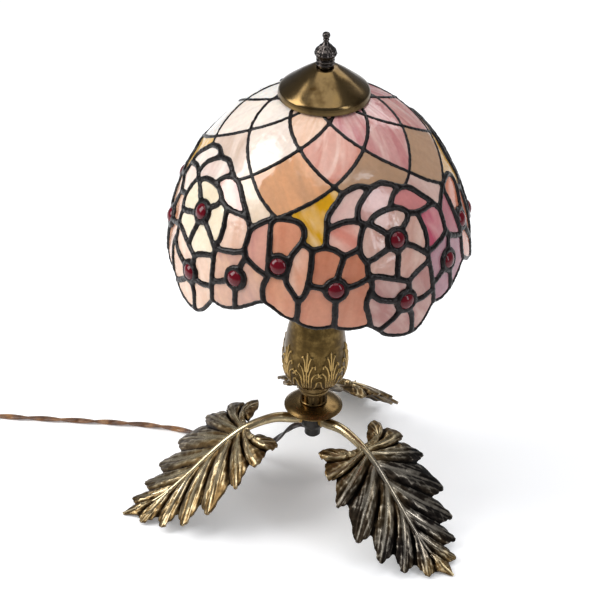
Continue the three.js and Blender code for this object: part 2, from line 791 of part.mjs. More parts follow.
// Distance along the glass to its scalloped edge.
function edgeDrop(turn) {
  const beat = REPEATS * (turn - radians(PATTERN_TURN));
  return EDGE_DROP + SCALLOP * Math.cos(beat) + 0.25 * SCALLOP * Math.cos(2 * beat);
}

const shade = new THREE.Group();
lamp.add(shade);
for (let i = 0; i < REPEATS; i++) {
  const from = radians(PATTERN_TURN + (i * 360) / REPEATS);
  const span = (2 * Math.PI) / REPEATS;
  const slit = GAP / APERTURE_R;
  const turnAt = (u) => from + slit / 2 + u * (span - slit);
  const lattice = bent(8, 1, 6, (u, v, w) => onShade(turnAt(u), w * LATTICE_DROP, v * GLASS));
  add("lattice_panel_" + (i + 1), lattice, "creamGlass", shade);
  const low = LATTICE_DROP + GAP;
  const flower = bent(14, 1, 5, (u, v, w) => {
    const turn = turnAt(u);
    return onShade(turn, low + w * (edgeDrop(turn) - low), v * GLASS);
  });
  add("flower_panel_" + (i + 1), flower, "roseGlass", shade);
}

// Each cabochon stands on the glass, along the glass's own normal.
for (let i = 0; i < REPEATS; i++) {
  const turn = radians(PATTERN_TURN + (i * 360) / REPEATS);
  const outwards = onShade(turn, RUBY_DROP, -1).sub(onShade(turn, RUBY_DROP, 0));
  const dome = turned([[0, 0], [RUBY_R, 0], [RUBY_R * 0.8, RUBY_H * 0.65], [RUBY_R * 0.4, RUBY_H * 0.95],
    [0, RUBY_H]], 16);
  const ruby = add("ruby_cabochon_" + (i + 1), dome, "rubyGlass", shade);
  ruby.position.copy(onShade(turn, RUBY_DROP, -GAP));
  ruby.quaternion.setFromUnitVectors(vec(0, 0, 1), outwards.normalize());
}

const APERTURE_Z = SHADE_LINE[0].z;
const TOP_RING = 2.5; // its width
const TOP_RING_OUT = APERTURE_R - GLASS - GAP;
add(
  "shade_top_ring",
  ringOf(TOP_RING_OUT - TOP_RING, TOP_RING_OUT, APERTURE_Z - GLASS, APERTURE_Z),
  "solder",
  shade,
);

// The cap's rim stands on the glass just outside its edge.
const CAP_RIM_Z = onShade(0, CAP_R - APERTURE_R, 0).z + 1.5;

function capGeometry() {
  const rise = CAP_TOP_Z - CAP_RIM_Z;
  const outer = smooth([
    [CAP_R, CAP_RIM_Z],
    [CAP_R - 0.7, CAP_RIM_Z + 0.1 * rise],
    [CAP_R - 4.6, CAP_RIM_Z + 0.47 * rise],
    [CAP_R - 10, CAP_RIM_Z + 0.69 * rise],
    [CAP_R - 18, CAP_RIM_Z + 0.905 * rise],
    [CAP_R - 23, CAP_RIM_Z + 0.985 * rise],
    [CAP_R - 27, CAP_TOP_Z],
  ], 9);
  const holeR = STUD_R + TURNING_GAP;
  const wall = turnedWall(outer, CAP_WALL, SIDES);
  const top = ringOf(holeR, CAP_R - 26.5, CAP_UNDER_Z, CAP_TOP_Z);
  return join(wall, top);
}

add("vase_cap", capGeometry(), "satinBrass", shade);

// ---- Finial -------------------------------------------------------------------------------

const WASHER_Z = CAP_TOP_Z + GAP;
const FINIAL_Z = WASHER_Z + WASHER + GAP;
add(
  "finial_washer",
  ringOf(STUD_R + TURNING_GAP, WASHER_R, WASHER_Z, WASHER_Z + WASHER, 24),
  "nickel",
);

// The finial's outer line, as shares of its widest radius and of its height.
function finialGeometry() {
  const line = [[0, 0], [0.86, 0], [0.9, 0.05], [0.62, 0.09], [0.6, 0.13], [0.85, 0.17], [0.82, 0.21],
    [0.5, 0.26], [0.82, 0.33], [1, 0.43], [0.9, 0.52], [0.5, 0.62], [0.32, 0.7], [0.48, 0.75],
    [0.24, 0.8], [0.38, 0.87], [0.3, 0.95], [0, 1]];
  const body = turned(line.map(([r, z]) => [r * FINIAL_R, FINIAL_Z + z * FINIAL_H]), 20);
  const hole = rodOf(STUD_R + TURNING_GAP, FINIAL_Z - 1, FINIAL_Z + STUD_LENGTH + 1, 16);
  return cut(body, hole);
}

add("finial", finialGeometry(), "nickel");

// ---- Cord, coil and plug ------------------------------------------------------------------

const CORD_LIE_Z = CORD_D / 2 + FLOOR_GAP;
const COIL_IN_R = COIL_MEAN_R - (TURN_PITCH * COIL_TURNS_WIDE) / 2;
const COIL_OUT_R = COIL_MEAN_R + (TURN_PITCH * COIL_TURNS_WIDE) / 2;
const COIL_TOP = COIL_Z + TURN_PITCH * COIL_LAYERS;
const TAIL_X = COIL_X - COIL_OUT_R + TURN_PITCH / 2;
const LEAD_Y = COIL_Y - COIL_OUT_R + TURN_PITCH / 2;

// From the outlet down to the table, and along it to the coil.
const LEAD = [
  vec(-6.6, AXIS_Y + 3, CORD_EXIT_Z),
  vec(-13, AXIS_Y + 5.9, 63.2),
  vec(-21, AXIS_Y + 9.5, 56),
  vec(-31, AXIS_Y + 14.1, 42),
  vec(-43, AXIS_Y + 19.5, 26.5),
  vec(-58, AXIS_Y + 26.5, 13),
  vec(-76, AXIS_Y + 34.1, 5),
  vec(-97, 19, CORD_LIE_Z),
  vec(-120, 24, CORD_LIE_Z),
  vec(-157, 24, CORD_LIE_Z),
  vec(-196, 18, CORD_LIE_Z),
  vec(-240, 9, CORD_LIE_Z),
  vec(-285, 0, CORD_LIE_Z),
  vec(-322, -7, CORD_LIE_Z),
  vec(-350.5, LEAD_Y, 3.4),
];
// From the coil's upper outer turn down and up again into the plug's strain relief.
const TAIL = [
  vec(TAIL_X, 44.4, 8),
  vec(TAIL_X, 54, 6.9),
  vec(TAIL_X, 63, 6.7),
  vec(TAIL_X, 71, 7.05),
  vec(TAIL_X, PLUG_Y - RELIEF_LENGTH - 2 * GAP, 7.1),
];

function cordGeometry(points) {
  const curve = new THREE.CatmullRomCurve3(points);
  return tube(curve, CORD_D / 2, Math.ceil(curve.getLength() / CORD_STEP), 8);
}

add("cord_lead", cordGeometry(LEAD), "brownFlex", part);
add("cord_tail", cordGeometry(TAIL), "brownFlex", part);

const coil = new THREE.Group();
coil.position.set(COIL_X, COIL_Y, 0);
part.add(coil);
add("cord_coil", ringOf(COIL_IN_R, COIL_OUT_R, COIL_Z, COIL_TOP, 32), "brownFlex", coil);

function tieGeometry() {
  const inside = vec(COIL_OUT_R - COIL_IN_R + 2 * GAP + 2, TIE_WIDTH + 2, COIL_TOP - COIL_Z + 2 * GAP);
  const outside = vec(inside.x + 2 * TIE, TIE_WIDTH, inside.z + 2 * TIE);
  const centre = vec(COIL_MEAN_R - 1, 0, (COIL_Z + COIL_TOP) / 2);
  return cut(block(outside, centre), block(inside, centre));
}

add("cord_tie", tieGeometry(), "phenolic", coil).rotation.z = radians(70);

const plug = new THREE.Group();
plug.position.set(TAIL_X, PLUG_Y, PLUG.z / 2 + FLOOR_GAP);
part.add(plug);

function pinPocket(side) {
  const size = vec(PIN.x + 2 * GAP, PIN_ROOT + GAP, PIN.z + 2 * GAP);
  return block(size, vec((side * PIN_SPACING) / 2, PLUG.y - size.y / 2 + 0.01, 0));
}

function plugGeometry() {
  const half = PLUG.x / 2;
  const shape = new THREE.Shape()
    .moveTo(-half * 0.55, 0)
    .lineTo(half * 0.55, 0)
    .quadraticCurveTo(half, PLUG.y * 0.15, half, PLUG.y * 0.45)
    .lineTo(half, PLUG.y)
    .lineTo(-half, PLUG.y)
    .lineTo(-half, PLUG.y * 0.45)
    .quadraticCurveTo(-half, PLUG.y * 0.15, -half * 0.55, 0);
  const options = { depth: PLUG.z, bevelEnabled: false, curveSegments: 6 };
  const body = new THREE.ExtrudeGeometry(shape, options).translate(0, 0, -PLUG.z / 2);
  return cut(body, pinPocket(-1), pinPocket(1));
}

function pinGeometry(side) {
  const size = vec(PIN.x, PIN.y + PIN_ROOT, PIN.z);
  return block(size, vec((side * PIN_SPACING) / 2, PLUG.y + (PIN.y - PIN_ROOT) / 2, 0));
}

add("plug_body", plugGeometry(), "brownFlex", plug);
add("plug_pin_left", pinGeometry(-1), "nickel", plug);
add("plug_pin_right", pinGeometry(1), "nickel", plug);
const RELIEF_TIP_R = CORD_D / 2 + 0.6;
const relief = turned([
  [0, -RELIEF_LENGTH - GAP],
  [RELIEF_TIP_R, -RELIEF_LENGTH - GAP],
  [RELIEF_R, -GAP],
  [0, -GAP],
], 16);
add("plug_strain_relief", relief.rotateX(-Math.PI / 2), "brownFlex", plug);

export default part;
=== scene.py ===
"""A stained glass table lamp: a leaded glass dome with flowers, on a brass vase that stands on
three cast leaves. Metres, +Z up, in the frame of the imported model."""

import math

import bmesh
import bpy
import numpy as np
from bpy.props import FloatProperty, FloatVectorProperty, IntProperty, PointerProperty
from mathutils import Matrix, Quaternion, Vector, noise
from mathutils.geometry import delaunay_2d_cdt


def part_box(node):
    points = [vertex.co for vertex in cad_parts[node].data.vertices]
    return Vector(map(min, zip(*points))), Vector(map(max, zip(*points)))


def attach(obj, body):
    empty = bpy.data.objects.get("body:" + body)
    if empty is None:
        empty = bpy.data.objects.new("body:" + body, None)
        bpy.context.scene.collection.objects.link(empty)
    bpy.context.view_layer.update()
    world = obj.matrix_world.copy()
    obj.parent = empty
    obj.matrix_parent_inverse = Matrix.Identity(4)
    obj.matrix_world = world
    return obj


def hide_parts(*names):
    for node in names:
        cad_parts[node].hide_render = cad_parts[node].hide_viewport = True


bl_info = {
    "name": "Stained Glass Table Lamp",
    "version": (1, 0, 0),
    "blender": (4, 5, 0),
    "location": "View3D > Sidebar > Lamp",
    "description": "Builds a leaded glass table lamp on three cast leaves",
    "category": "Add Mesh",
}

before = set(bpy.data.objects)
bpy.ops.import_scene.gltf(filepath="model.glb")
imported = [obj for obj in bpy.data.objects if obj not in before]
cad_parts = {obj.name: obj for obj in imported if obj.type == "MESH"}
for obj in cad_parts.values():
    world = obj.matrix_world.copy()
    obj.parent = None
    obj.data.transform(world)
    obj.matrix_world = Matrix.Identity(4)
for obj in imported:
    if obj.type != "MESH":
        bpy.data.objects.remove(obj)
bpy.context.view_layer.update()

MM = 0.001
WASHER_LOW, WASHER_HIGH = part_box("finial_washer")
AXIS = Vector(((WASHER_LOW.x + WASHER_HIGH.x) / 2, (WASHER_LOW.y + WASHER_HIGH.y) / 2, 0))
CENTRE = AXIS / MM  # where the lamp's axis meets the table, in millimetres
PIPE_HOLE = 5.4  # radius of the hole for the threaded pipe
STUD_HOLE = 3.6  # radius of the hole for the harp's stud


def low_of(node):
    """Height of a CAD node's foot, in millimetres."""
    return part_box(node)[0].z / MM


def high_of(node):
    """Height of a CAD node's top, in millimetres."""
    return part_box(node)[1].z / MM


def radius_of(node):
    """Half the width of a CAD node, in millimetres."""
    low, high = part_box(node)
    return (high.x - low.x) / 2 / MM


# ---- Sizes and colours -------------------------------------------------------------------------


def millimetres(name, description, default, smallest=0.0, largest=1000.0):
    return FloatProperty(name=name, description=description, default=default, min=smallest, max=largest)


def colour_property(name, description, default):
    return FloatVectorProperty(
        name=name, description=description, default=default, subtype="COLOR", size=3, min=0, max=1
    )


def linear(code):
    """Linear colour of an sRGB hex value such as "c98a5a"."""
    channels = [int(code[i : i + 2], 16) / 255 for i in (0, 2, 4)]
    return tuple(c / 12.92 if c <= 0.04045 else ((c + 0.055) / 1.055) ** 2.4 for c in channels)


class LampShadeSizes(bpy.types.PropertyGroup):
    """Sizes of the leaded glass dome, in millimetres"""

    pane: millimetres("Pane", "Thickness of the glass in mm", 2.0, 1, 4)
    seam: millimetres("Seam", "Width of a solder seam in mm", 5.8, 2, 8)
    lattice_seam: millimetres("Lattice seam", "Width of a seam between the lattice panes in mm", 4.2, 2, 6)
    ruby: millimetres("Cabochon", "Diameter of a glass cabochon in mm", 14.6, 8, 20)
    ruby_height: millimetres("Cabochon height", "Height of a cabochon in mm", 5.2, 2, 8)
    flatness: FloatProperty(
        name="Flatness",
        description="How flat each pane is between its seams, from curved to flat",
        default=0.5,
        min=0,
        max=1,
        subtype="FACTOR",
    )


class LampBodySizes(bpy.types.PropertyGroup):
    """Sizes of the brass body and its leaves, in millimetres"""

    relief: millimetres("Relief", "Height of the acanthus relief on the vase in mm", 1.3, 0, 3)
    relief_leaves: IntProperty(
        name="Relief leaves", description="Acanthus leaves round the vase", default=8, min=3, max=16
    )
    leaf_thickness: millimetres("Leaf thickness", "Thickness of a cast leaf in mm", 3.0, 1, 6)
    puff: millimetres("Puff", "How far a leaf swells between its veins in mm", 2.6, 0, 6)
    vein: millimetres("Vein", "Height of a leaf's side veins in mm", 1.5, 0, 3)


class LampFlexSizes(bpy.types.PropertyGroup):
    """Sizes of the flex, in metres and millimetres"""

    length: FloatProperty(name="Length", description="Length of the flex", default=1.8, unit="LENGTH")
    width: millimetres("Width", "Width of the twin flex in mm", 5.0, 3, 8)


class LampColours(bpy.types.PropertyGroup):
    """Colours of the glass and of the brass"""

    # painted light: cream is the lattice's glass where it is painted palest, toward the window
    cream: colour_property("Cream", "Glass of the lattice where it is palest", linear("eceae5"))
    peach: colour_property("Peach", "Glass of the lattice between cream and mauve", linear("dc9c6a"))
    mauve: colour_property("Mauve", "Glass of the lattice where it is deepest", linear("c48c8c"))
    tan: colour_property("Tan", "Every third pane of the lattice where it is deepest", linear("bd9c82"))
    ruby: colour_property("Ruby", "Ruby cabochons", linear("5a0010"))
    brass: colour_property("Antique brass", "Spun pieces of the body", linear("6a5739"))


# ---- Mesh helpers ------------------------------------------------------------------------------


def finished(name, bm, material, body="root", slot=None, sharp=32.0):
    """Makes an object of a bmesh in millimetres, smooth but for edges sharper than an angle. It rides
    on a body of the lamp, or on none."""
    bmesh.ops.scale(bm, vec=(MM, MM, MM), verts=bm.verts)
    mesh = bpy.data.meshes.new(name)
    bm.to_mesh(mesh)
    bm.free()
    mesh.polygons.foreach_set("use_smooth", [True] * len(mesh.polygons))
    mesh.set_sharp_from_angle(angle=math.radians(sharp))
    mesh.materials.append(material)
    made = bpy.data.objects.new(name, mesh)
    bpy.context.scene.collection.objects.link(made)
    if body:
        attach(made, body)
    return made


def tidied(bm):
    """Merges doubles and turns the faces outwards."""
    bmesh.ops.remove_doubles(bm, verts=bm.verts, dist=1e-4)
    bmesh.ops.recalc_face_normals(bm, faces=bm.faces)
    return bm


def spun(profile, segments=96):
    """A bmesh turned about the lamp's axis from [radius, height] pairs in millimetres."""
    bm = bmesh.new()
    line = [bm.verts.new((CENTRE.x + r, CENTRE.y, z)) for r, z in profile]
    edges = [bm.edges.new(pair) for pair in zip(line, line[1:])]
    bmesh.ops.spin(
        bm, geom=line + edges, cent=CENTRE, axis=(0, 0, 1), angle=2 * math.pi, steps=segments, use_merge=True,
        use_duplicate=False,
    )
    return tidied(bm)


def around_axis(bm):
    """Each vertex with its distance from the lamp's axis, its turn round it and its way out."""
    for vert in bm.verts:
        away = (vert.co - CENTRE).xy
        yield vert, away.length, math.atan2(away.y, away.x), Vector((*away.normalized(), 0))


def curve_through(points, steps):
    """Points of a smooth curve through a list of points, some steps to each stretch."""
    ends = [2 * points[0] - points[1], *points, 2 * points[-1] - points[-2]]
    made = []
    for a, b, c, d in zip(ends, ends[1:], ends[2:], ends[3:]):
        for i in range(steps):
            t = i / steps
            bend, twist = 2 * a - 5 * b + 4 * c - d, 3 * b - a - 3 * c + d
            made.append(0.5 * (2 * b + (c - a) * t + bend * t**2 + twist * t**3))
    return made + [points[-1]]


def rounded(pairs, steps=6):
    """A smooth profile through [radius, height] pairs."""
    return [tuple(p) for p in curve_through([Vector(p) for p in pairs], steps)]


def eased(t):
    """A share from 0 to 1 with soft ends."""
    t = min(max(t, 0.0), 1.0)
    return t * t * (3 - 2 * t)


def bent_grid(across, along, place):
    """A grid of faces whose points a function puts in place, given their shares along both ways."""
    bm = bmesh.new()
    bmesh.ops.create_grid(bm, x_segments=across, y_segments=along, size=0.5)
    for vert in bm.verts:
        vert.co = place(vert.co.x + 0.5, vert.co.y + 0.5)
    return bm


def round_section(sides):
    """The outline of a round bar, as steps from its middle."""
    turns = [2 * math.pi * i / sides for i in range(sides)]
    return [Vector((math.cos(turn), math.sin(turn))) for turn in turns]


def tube(path, radius_at, section, turn_at=None):
    """A bmesh tube along a path, closed at its ends, its section turned as it goes."""
    last = len(path) - 1
    rings = []
    for i, centre in enumerate(path):
        along = (path[min(i + 1, last)] - path[max(i - 1, 0)]).normalized()
        side = along.cross(Vector((0, 0, 1)))
        side = side.normalized() if side.length > 1e-6 else Vector((1, 0, 0))
        over = side.cross(along)
        radius = radius_at(i / last)
        turn = turn_at(i / last) if turn_at else 0.0
        c, s = math.cos(turn), math.sin(turn)
        rings.append(
            [centre + radius * ((p.x * c - p.y * s) * side + (p.x * s + p.y * c) * over) for p in section]
        )

    def place(u, v):
        return rings[round(u * last)][round(v * len(section)) % len(section)]

    bm = bent_grid(last, len(section), place)
    bmesh.ops.remove_doubles(bm, verts=bm.verts, dist=1e-4)
    bmesh.ops.holes_fill(bm, edges=[e for e in bm.edges if e.is_boundary])
    return tidied(bm)


def join_into(bm, other, matrix=None):
    """Adds a bmesh to another, moved by a matrix, and frees it."""
    if matrix:
        bmesh.ops.transform(other, matrix=matrix, verts=other.verts)
    spare = bpy.data.meshes.new("spare")
    other.to_mesh(spare)
    other.free()
    bm.from_mesh(spare)
    bpy.data.meshes.remove(spare)
    return bm


# ---- Material helpers --------------------------------------------------------------------------


def rgba(colour):
    """A shader's colour from an sRGB hex value or a linear colour."""
    return (*(linear(colour) if isinstance(colour, str) else colour), 1.0)


def feed(node, inputs):
    """Sets a node's inputs, or links them to a socket or to another node's first output."""
    for key, value in inputs.items():
        if isinstance(value, bpy.types.Node):
            value = value.outputs[0]
        if isinstance(value, bpy.types.NodeSocket):
            node.id_data.links.new(value, node.inputs[key])
        else:
            node.inputs[key].default_value = value


def add_node(tree, kind, inputs, stops=(), **settings):
    """Adds a node with its settings, colour stops and inputs."""
    made = tree.nodes.new(kind)
    for name, value in settings.items():
        setattr(made, name, value)
    for i, (position, colour) in enumerate(stops):
        elements = made.color_ramp.elements
        element = elements[i] if i < len(elements) else elements.new(position)
        element.position = position
        element.color = rgba(colour)
    feed(made, inputs)
    return made


def new_finish(name, **sockets):
    """A material with one Principled shader, and its tree and shader."""
    material = bpy.data.materials.new(name)
    material.use_nodes = True
    tree = material.node_tree
    shader = tree.nodes["Principled BSDF"]
    feed(shader, {key.replace("_", " "): value for key, value in sockets.items()})
    return material, tree, shader


def fine_grain(tree, place, scale, detail, strength, distance):
    """A bump of noise whose lumps are about one by the scale in metres apart."""
    grain = add_node(tree, "ShaderNodeTexNoise", {"Vector": place, "Scale": scale, "Detail": detail})
    return add_node(tree, "ShaderNodeBump", {"Height": grain, "Strength": strength, "Distance": distance})


# ---- Finishes ----------------------------------------------------------------------------------


def backdrop_finish():
    """White laminate table: matt, so that only soft shadows show."""
    return new_finish(
        "white_laminate", Base_Color=rgba("fbfbfb"), Roughness=0.75, Emission_Color=rgba("ffffff"),
        Emission_Strength=0.16,
    )[0]


def flex_finish():
    """Gold-brown translucent PVC over copper strands: glossy, uneven in colour along its
    length, and darkened near the lamp with painted shade, where it runs under the hub and the leaf."""
    material, tree, shader = new_finish("brown_pvc_flex", Roughness=0.3, Coat_Weight=0.3, Coat_Roughness=0.15)
    place = add_node(tree, "ShaderNodeTexCoord", {}).outputs["Object"]
    grain = add_node(tree, "ShaderNodeTexNoise", {"Vector": place, "Scale": 90.0, "Detail": 3.0})
    stops = [(0.3, "351e10"), (0.5, "6b4628"), (0.75, "a87a4a")]
    colour = add_node(tree, "ShaderNodeValToRGB", {"Fac": grain}, stops)
    along_x = add_node(tree, "ShaderNodeSeparateXYZ", {"Vector": place})
    near_lamp = add_node(tree, "ShaderNodeMapRange", {"Value": along_x, "From Min": -0.11, "From Max": -0.06})
    # painted shade: the flex is darkened near the lamp, where it runs under the hub and the leaf
    shaded_near_lamp = add_node(tree, "ShaderNodeMix", {0: near_lamp, 6: colour, 7: rgba("20120b")}, data_type="RGBA")
    feed(shader, {"Base Color": shaded_near_lamp.outputs[2]})
    return material


def opal_glass_finish():
    """Rolled opalescent glass: soft streaks about 13 by 45 mm in each pane's own direction, a
    slow ripple about 7 mm wide that bends the reflections, and a glow from just under the surface."""
    material, tree, shader = new_finish(
        "opalescent_glass", Roughness=0.13, Subsurface_Weight=0.22, Subsurface_Radius=(1.0, 0.7, 0.5),
        Subsurface_Scale=0.004, Coat_Weight=0.25, Coat_Roughness=0.08,
    )
    # the tint holds each pane's glass with painted light, paler toward the window at the left
    tint, wisp, streak = (
        add_node(tree, "ShaderNodeAttribute", {}, attribute_name=mark) for mark in ("tint", "wisp", "streak")
    )
    stretched = add_node(
        tree, "ShaderNodeMapping", {"Vector": streak.outputs["Vector"], "Scale": (0.022, 0.075, 1.0)}
    )
    wisps = add_node(
        tree, "ShaderNodeTexNoise",
        {"Vector": stretched, "Scale": 1.0, "Detail": 2.5, "Roughness": 0.48, "Distortion": 0.7},
    )
    share = add_node(tree, "ShaderNodeMapRange", {"Value": wisps, "From Min": 0.36, "From Max": 0.74})
    mixed = add_node(tree, "ShaderNodeMix", {0: share, 6: tint, 7: wisp}, data_type="RGBA")
    place = add_node(tree, "ShaderNodeTexCoord", {}).outputs["Object"]
    mottle = add_node(
        tree, "ShaderNodeTexNoise", {"Vector": place, "Scale": 260.0, "Detail": 4.0, "Roughness": 0.6}
    )
    shade = add_node(
        tree, "ShaderNodeMapRange",
        {"Value": mottle, "From Min": 0.3, "From Max": 0.7, "To Min": 0.93, "To Max": 1.05},
    )
    graded = add_node(
        tree, "ShaderNodeHueSaturation", {"Color": mixed.outputs[2], "Value": shade, "Saturation": 1.14}
    )
    feed(shader, {"Base Color": graded, "Normal": fine_grain(tree, place, 140.0, 1.5, 0.35, 0.0012)})
    return material


def ruby_glass_finish(colour):
    """Pressed ruby glass: deep, smooth, with a small sharp highlight."""
    return new_finish("ruby_pressed_glass", Base_Color=rgba(colour), Roughness=0.08, Specular_IOR_Level=0.35)[0]


def solder_finish():
    """Lead solder with a dark patina: nearly black and glossy, worn back to silver in spots of 3 mm."""
    material, tree, shader = new_finish("patinated_solder", Metallic=0.35, Specular_IOR_Level=0.35)
    place = add_node(tree, "ShaderNodeTexCoord", {}).outputs["Object"]
    worn = add_node(
        tree, "ShaderNodeTexNoise", {"Vector": place, "Scale": 330.0, "Detail": 4.0, "Roughness": 0.6}
    )
    stops = [(0.35, "0a0605"), (0.62, "130c0a"), (0.74, "2f2520"), (0.84, "83786e")]
    colour = add_node(tree, "ShaderNodeValToRGB", {"Fac": worn}, stops)
    blur = add_node(
        tree, "ShaderNodeMapRange",
        {"Value": worn, "From Min": 0.3, "From Max": 0.75, "To Min": 0.22, "To Max": 0.42},
    )
    bump = fine_grain(tree, place, 420.0, 2.0, 0.5, 0.0006)
    feed(shader, {"Base Color": colour, "Roughness": blur, "Normal": bump})
    return material


def brass_finish(name, colour, roughness, scale=60.0):
    """Spun brass with an antique lacquer: even in the open, with brown clouds a few millimetres wide
    and fine turning marks that only blur the reflections."""
    material, tree, shader = new_finish(name, Metallic=1.0)
    place = add_node(tree, "ShaderNodeTexCoord", {}).outputs["Object"]
    clouds = add_node(
        tree, "ShaderNodeTexNoise", {"Vector": place, "Scale": scale, "Detail": 5.0, "Roughness": 0.6}
    )
    dark = tuple(c * k for c, k in zip(colour, (0.38, 0.33, 0.26)))
    bright = tuple(min(c * k, 1) for c, k in zip(colour, (1.25, 1.22, 1.1)))
    tone = add_node(tree, "ShaderNodeValToRGB", {"Fac": clouds}, [(0.3, dark), (0.47, colour), (0.7, bright)])
    dull, shiny = roughness + 0.12, roughness - 0.05
    blur = add_node(
        tree, "ShaderNodeMapRange",
        {"Value": clouds, "From Min": 0.3, "From Max": 0.7, "To Min": dull, "To Max": shiny},
    )
    bump = fine_grain(tree, place, 900.0, 2.0, 0.15, 0.0002)
    feed(shader, {"Base Color": tone, "Roughness": blur, "Normal": bump})
    return material


def cast_finish(name, recess, flat, ridge, shaded_flat, roughness):
    """Cast brass, blackened and rubbed back: dark in its recesses, bright on its ridges. The raised
    attribute says how high the metal stands, and the other one how far it is gold rather than
    gunmetal: gold is the metal as the window at the left lights it, gunmetal a painted shade of it."""
    material, tree, shader = new_finish(name, Metallic=1.0)
    place = add_node(tree, "ShaderNodeTexCoord", {}).outputs["Object"]
    raised, lit_gold = (
        add_node(tree, "ShaderNodeAttribute", {}, attribute_name=mark).outputs["Fac"]
        for mark in ("raised", "lit_gold")
    )
    rubbed = add_node(
        tree, "ShaderNodeTexNoise", {"Vector": place, "Scale": 130.0, "Detail": 5.0, "Roughness": 0.65}
    )
    wear = add_node(tree, "ShaderNodeMath", {0: rubbed, 1: 0.7, 2: raised}, operation="MULTIPLY_ADD")
    height = add_node(tree, "ShaderNodeMapRange", {"Value": wear, "From Min": 0.35, "From Max": 1.35})
    stops = [(0.1, recess), (0.42, flat), (0.85, ridge)]
    golden = add_node(tree, "ShaderNodeValToRGB", {"Fac": height}, stops)
    # painted shade: a gunmetal copy of the cast metal, dark but for its worn ridges, where the light falls away
    stops = [(0.2, "0b0908"), (0.5, shaded_flat), (0.92, "c4b9a8")]
    shaded_gunmetal = add_node(tree, "ShaderNodeValToRGB", {"Fac": height}, stops)
    mixed = add_node(tree, "ShaderNodeMix", {0: lit_gold, 6: shaded_gunmetal, 7: golden}, data_type="RGBA")
    blur = add_node(
        tree, "ShaderNodeMapRange", {"Value": height, "To Min": roughness + 0.25, "To Max": roughness - 0.04}
    )
    bump = fine_grain(tree, place, 520.0, 3.0, 0.35, 0.0004)
    feed(shader, {"Base Color": mixed.outputs[2], "Roughness": blur, "Normal": bump})
    return material


# ---- Stage -------------------------------------------------------------------------------------

VIEW_AZIMUTH = math.radians(13.85)
VIEW_ELEVATION = math.radians(32.83)
VIEW_ROLL = math.radians(1.742)
VIEW_DISTANCE = 1.9
VIEW_TARGET = Vector((-0.0118, -0.0346, 0.2045))
VIEW_LENS = 136.0
STUDIO = Vector((0, 0, 0.2))


def lay_floor():
    """A table that runs on past the picture."""
    bm = bmesh.new()
    bmesh.ops.create_grid(bm, x_segments=1, y_segments=1, size=6000)
    finished("floor", bm, backdrop_finish(), body=None)


def hang_softbox(name, azimuth, elevation, distance, size, watts, colour="ffffff"):
    """An area light that looks at the lamp from an azimuth, 0 in front and 90 to the right."""
    data = bpy.data.lights.new(name, "AREA")
    data.shape = "RECTANGLE"
    data.size, data.size_y = size
    data.energy = watts
    data.color = linear(colour)
    light = bpy.data.objects.new(name, data)
    away = out_along(math.radians(azimuth), math.radians(elevation))
    light.location = STUDIO + away * distance
    light.rotation_euler = away.to_track_quat("Z", "Y").to_euler()
    bpy.context.scene.collection.objects.link(light)


def light_studio():
    """A window at the left, softer light from above, the right and behind, and a dim pale room."""
    hang_softbox("window", -66, 36, 1.5, (0.8, 1.2), 20)
    hang_softbox("overhead", 20, 82, 1.9, (1.6, 1.6), 15)
    hang_softbox("right_strip", 68, 28, 1.7, (0.35, 1.3), 7, "f4f8ff")
    hang_softbox("rear_fill", 170, 45, 2.0, (1.6, 1.0), 12)
    world = bpy.data.worlds.new("studio")
    bpy.context.scene.world = world
    world.use_nodes = True
    feed(world.node_tree.nodes["Background"], {"Color": rgba("c9ccd2"), "Strength": 0.4})
    bpy.context.scene.view_settings.view_transform = "Standard"


def out_along(turn, rise):
    """The direction at an azimuth, 0 in front and a quarter turn to the right, and an elevation."""
    return Vector((math.sin(turn) * math.cos(rise), -math.cos(turn) * math.cos(rise), math.sin(rise)))


def place_camera():
    """A long lens from the front, above and a little to the right."""
    data = bpy.data.cameras.new("camera")
    data.lens = VIEW_LENS
    data.sensor_width = 36
    camera = bpy.data.objects.new("camera", data)
    back = out_along(VIEW_AZIMUTH, VIEW_ELEVATION)
    camera.location = VIEW_TARGET + back * VIEW_DISTANCE
    camera.rotation_mode = "QUATERNION"
    level = back.to_track_quat("Z", "Y")
    camera.rotation_quaternion = level @ Quaternion((0, 0, 1), VIEW_ROLL)
    bpy.context.scene.collection.objects.link(camera)
    bpy.context.scene.camera = camera


class LAMP_OT_stage(bpy.types.Operator):
    """Lays the floor, hangs the lights and places the camera"""

    bl_idname = "lamp.stage"
    bl_label = "Stage"

    def execute(self, context):
        lay_floor()
        light_studio()
        place_camera()
        return {"FINISHED"}


# ---- Flex --------------------------------------------------------------------------------------

# From the outlet under the hub down to the table, and along it to the coil, in millimetres.
FLEX_LEAD = [
    (-6.6, -19.5, 65.2), (-13, -16.6, 63.2), (-21, -13, 56), (-31, -8.4, 42), (-43, -3, 26.5), (-58, 4, 13),
    (-76, 11.6, 5), (-97, 19, 2.6), (-120, 24, 2.6), (-157, 24, 2.6), (-196, 18, 2.6), (-240, 9, 2.6),
    (-285, 0, 2.6), (-322, -7, 2.6),
]
# From the coil to the plug.
FLEX_TAIL = [
    (-405.2, 44.4, 8.2), (-405.2, 54, 6.9), (-405.2, 63, 6.7), (-405.2, 71, 7.05), (-405.2, 79.5, 7.1),
]
COIL_CENTRE = Vector((-370, 24, 0))
COIL_OUTER = 33.9  # radius of the outermost turn's centre
COIL_WIDE = 4  # turns side by side
COIL_LAYERS = 2
COIL_STEP = 1 / 6  # share of a turn in which the flex moves to the next one
COIL_GAP = 0.12  # between turns
COIL_POINTS = 72  # along one turn
COIL_ENTRY = Vector((18, 0, -0.6))  # from the coil's start to the last point before it
TWIST_PITCH = 62.0  # length in which the two cores turn round each other once


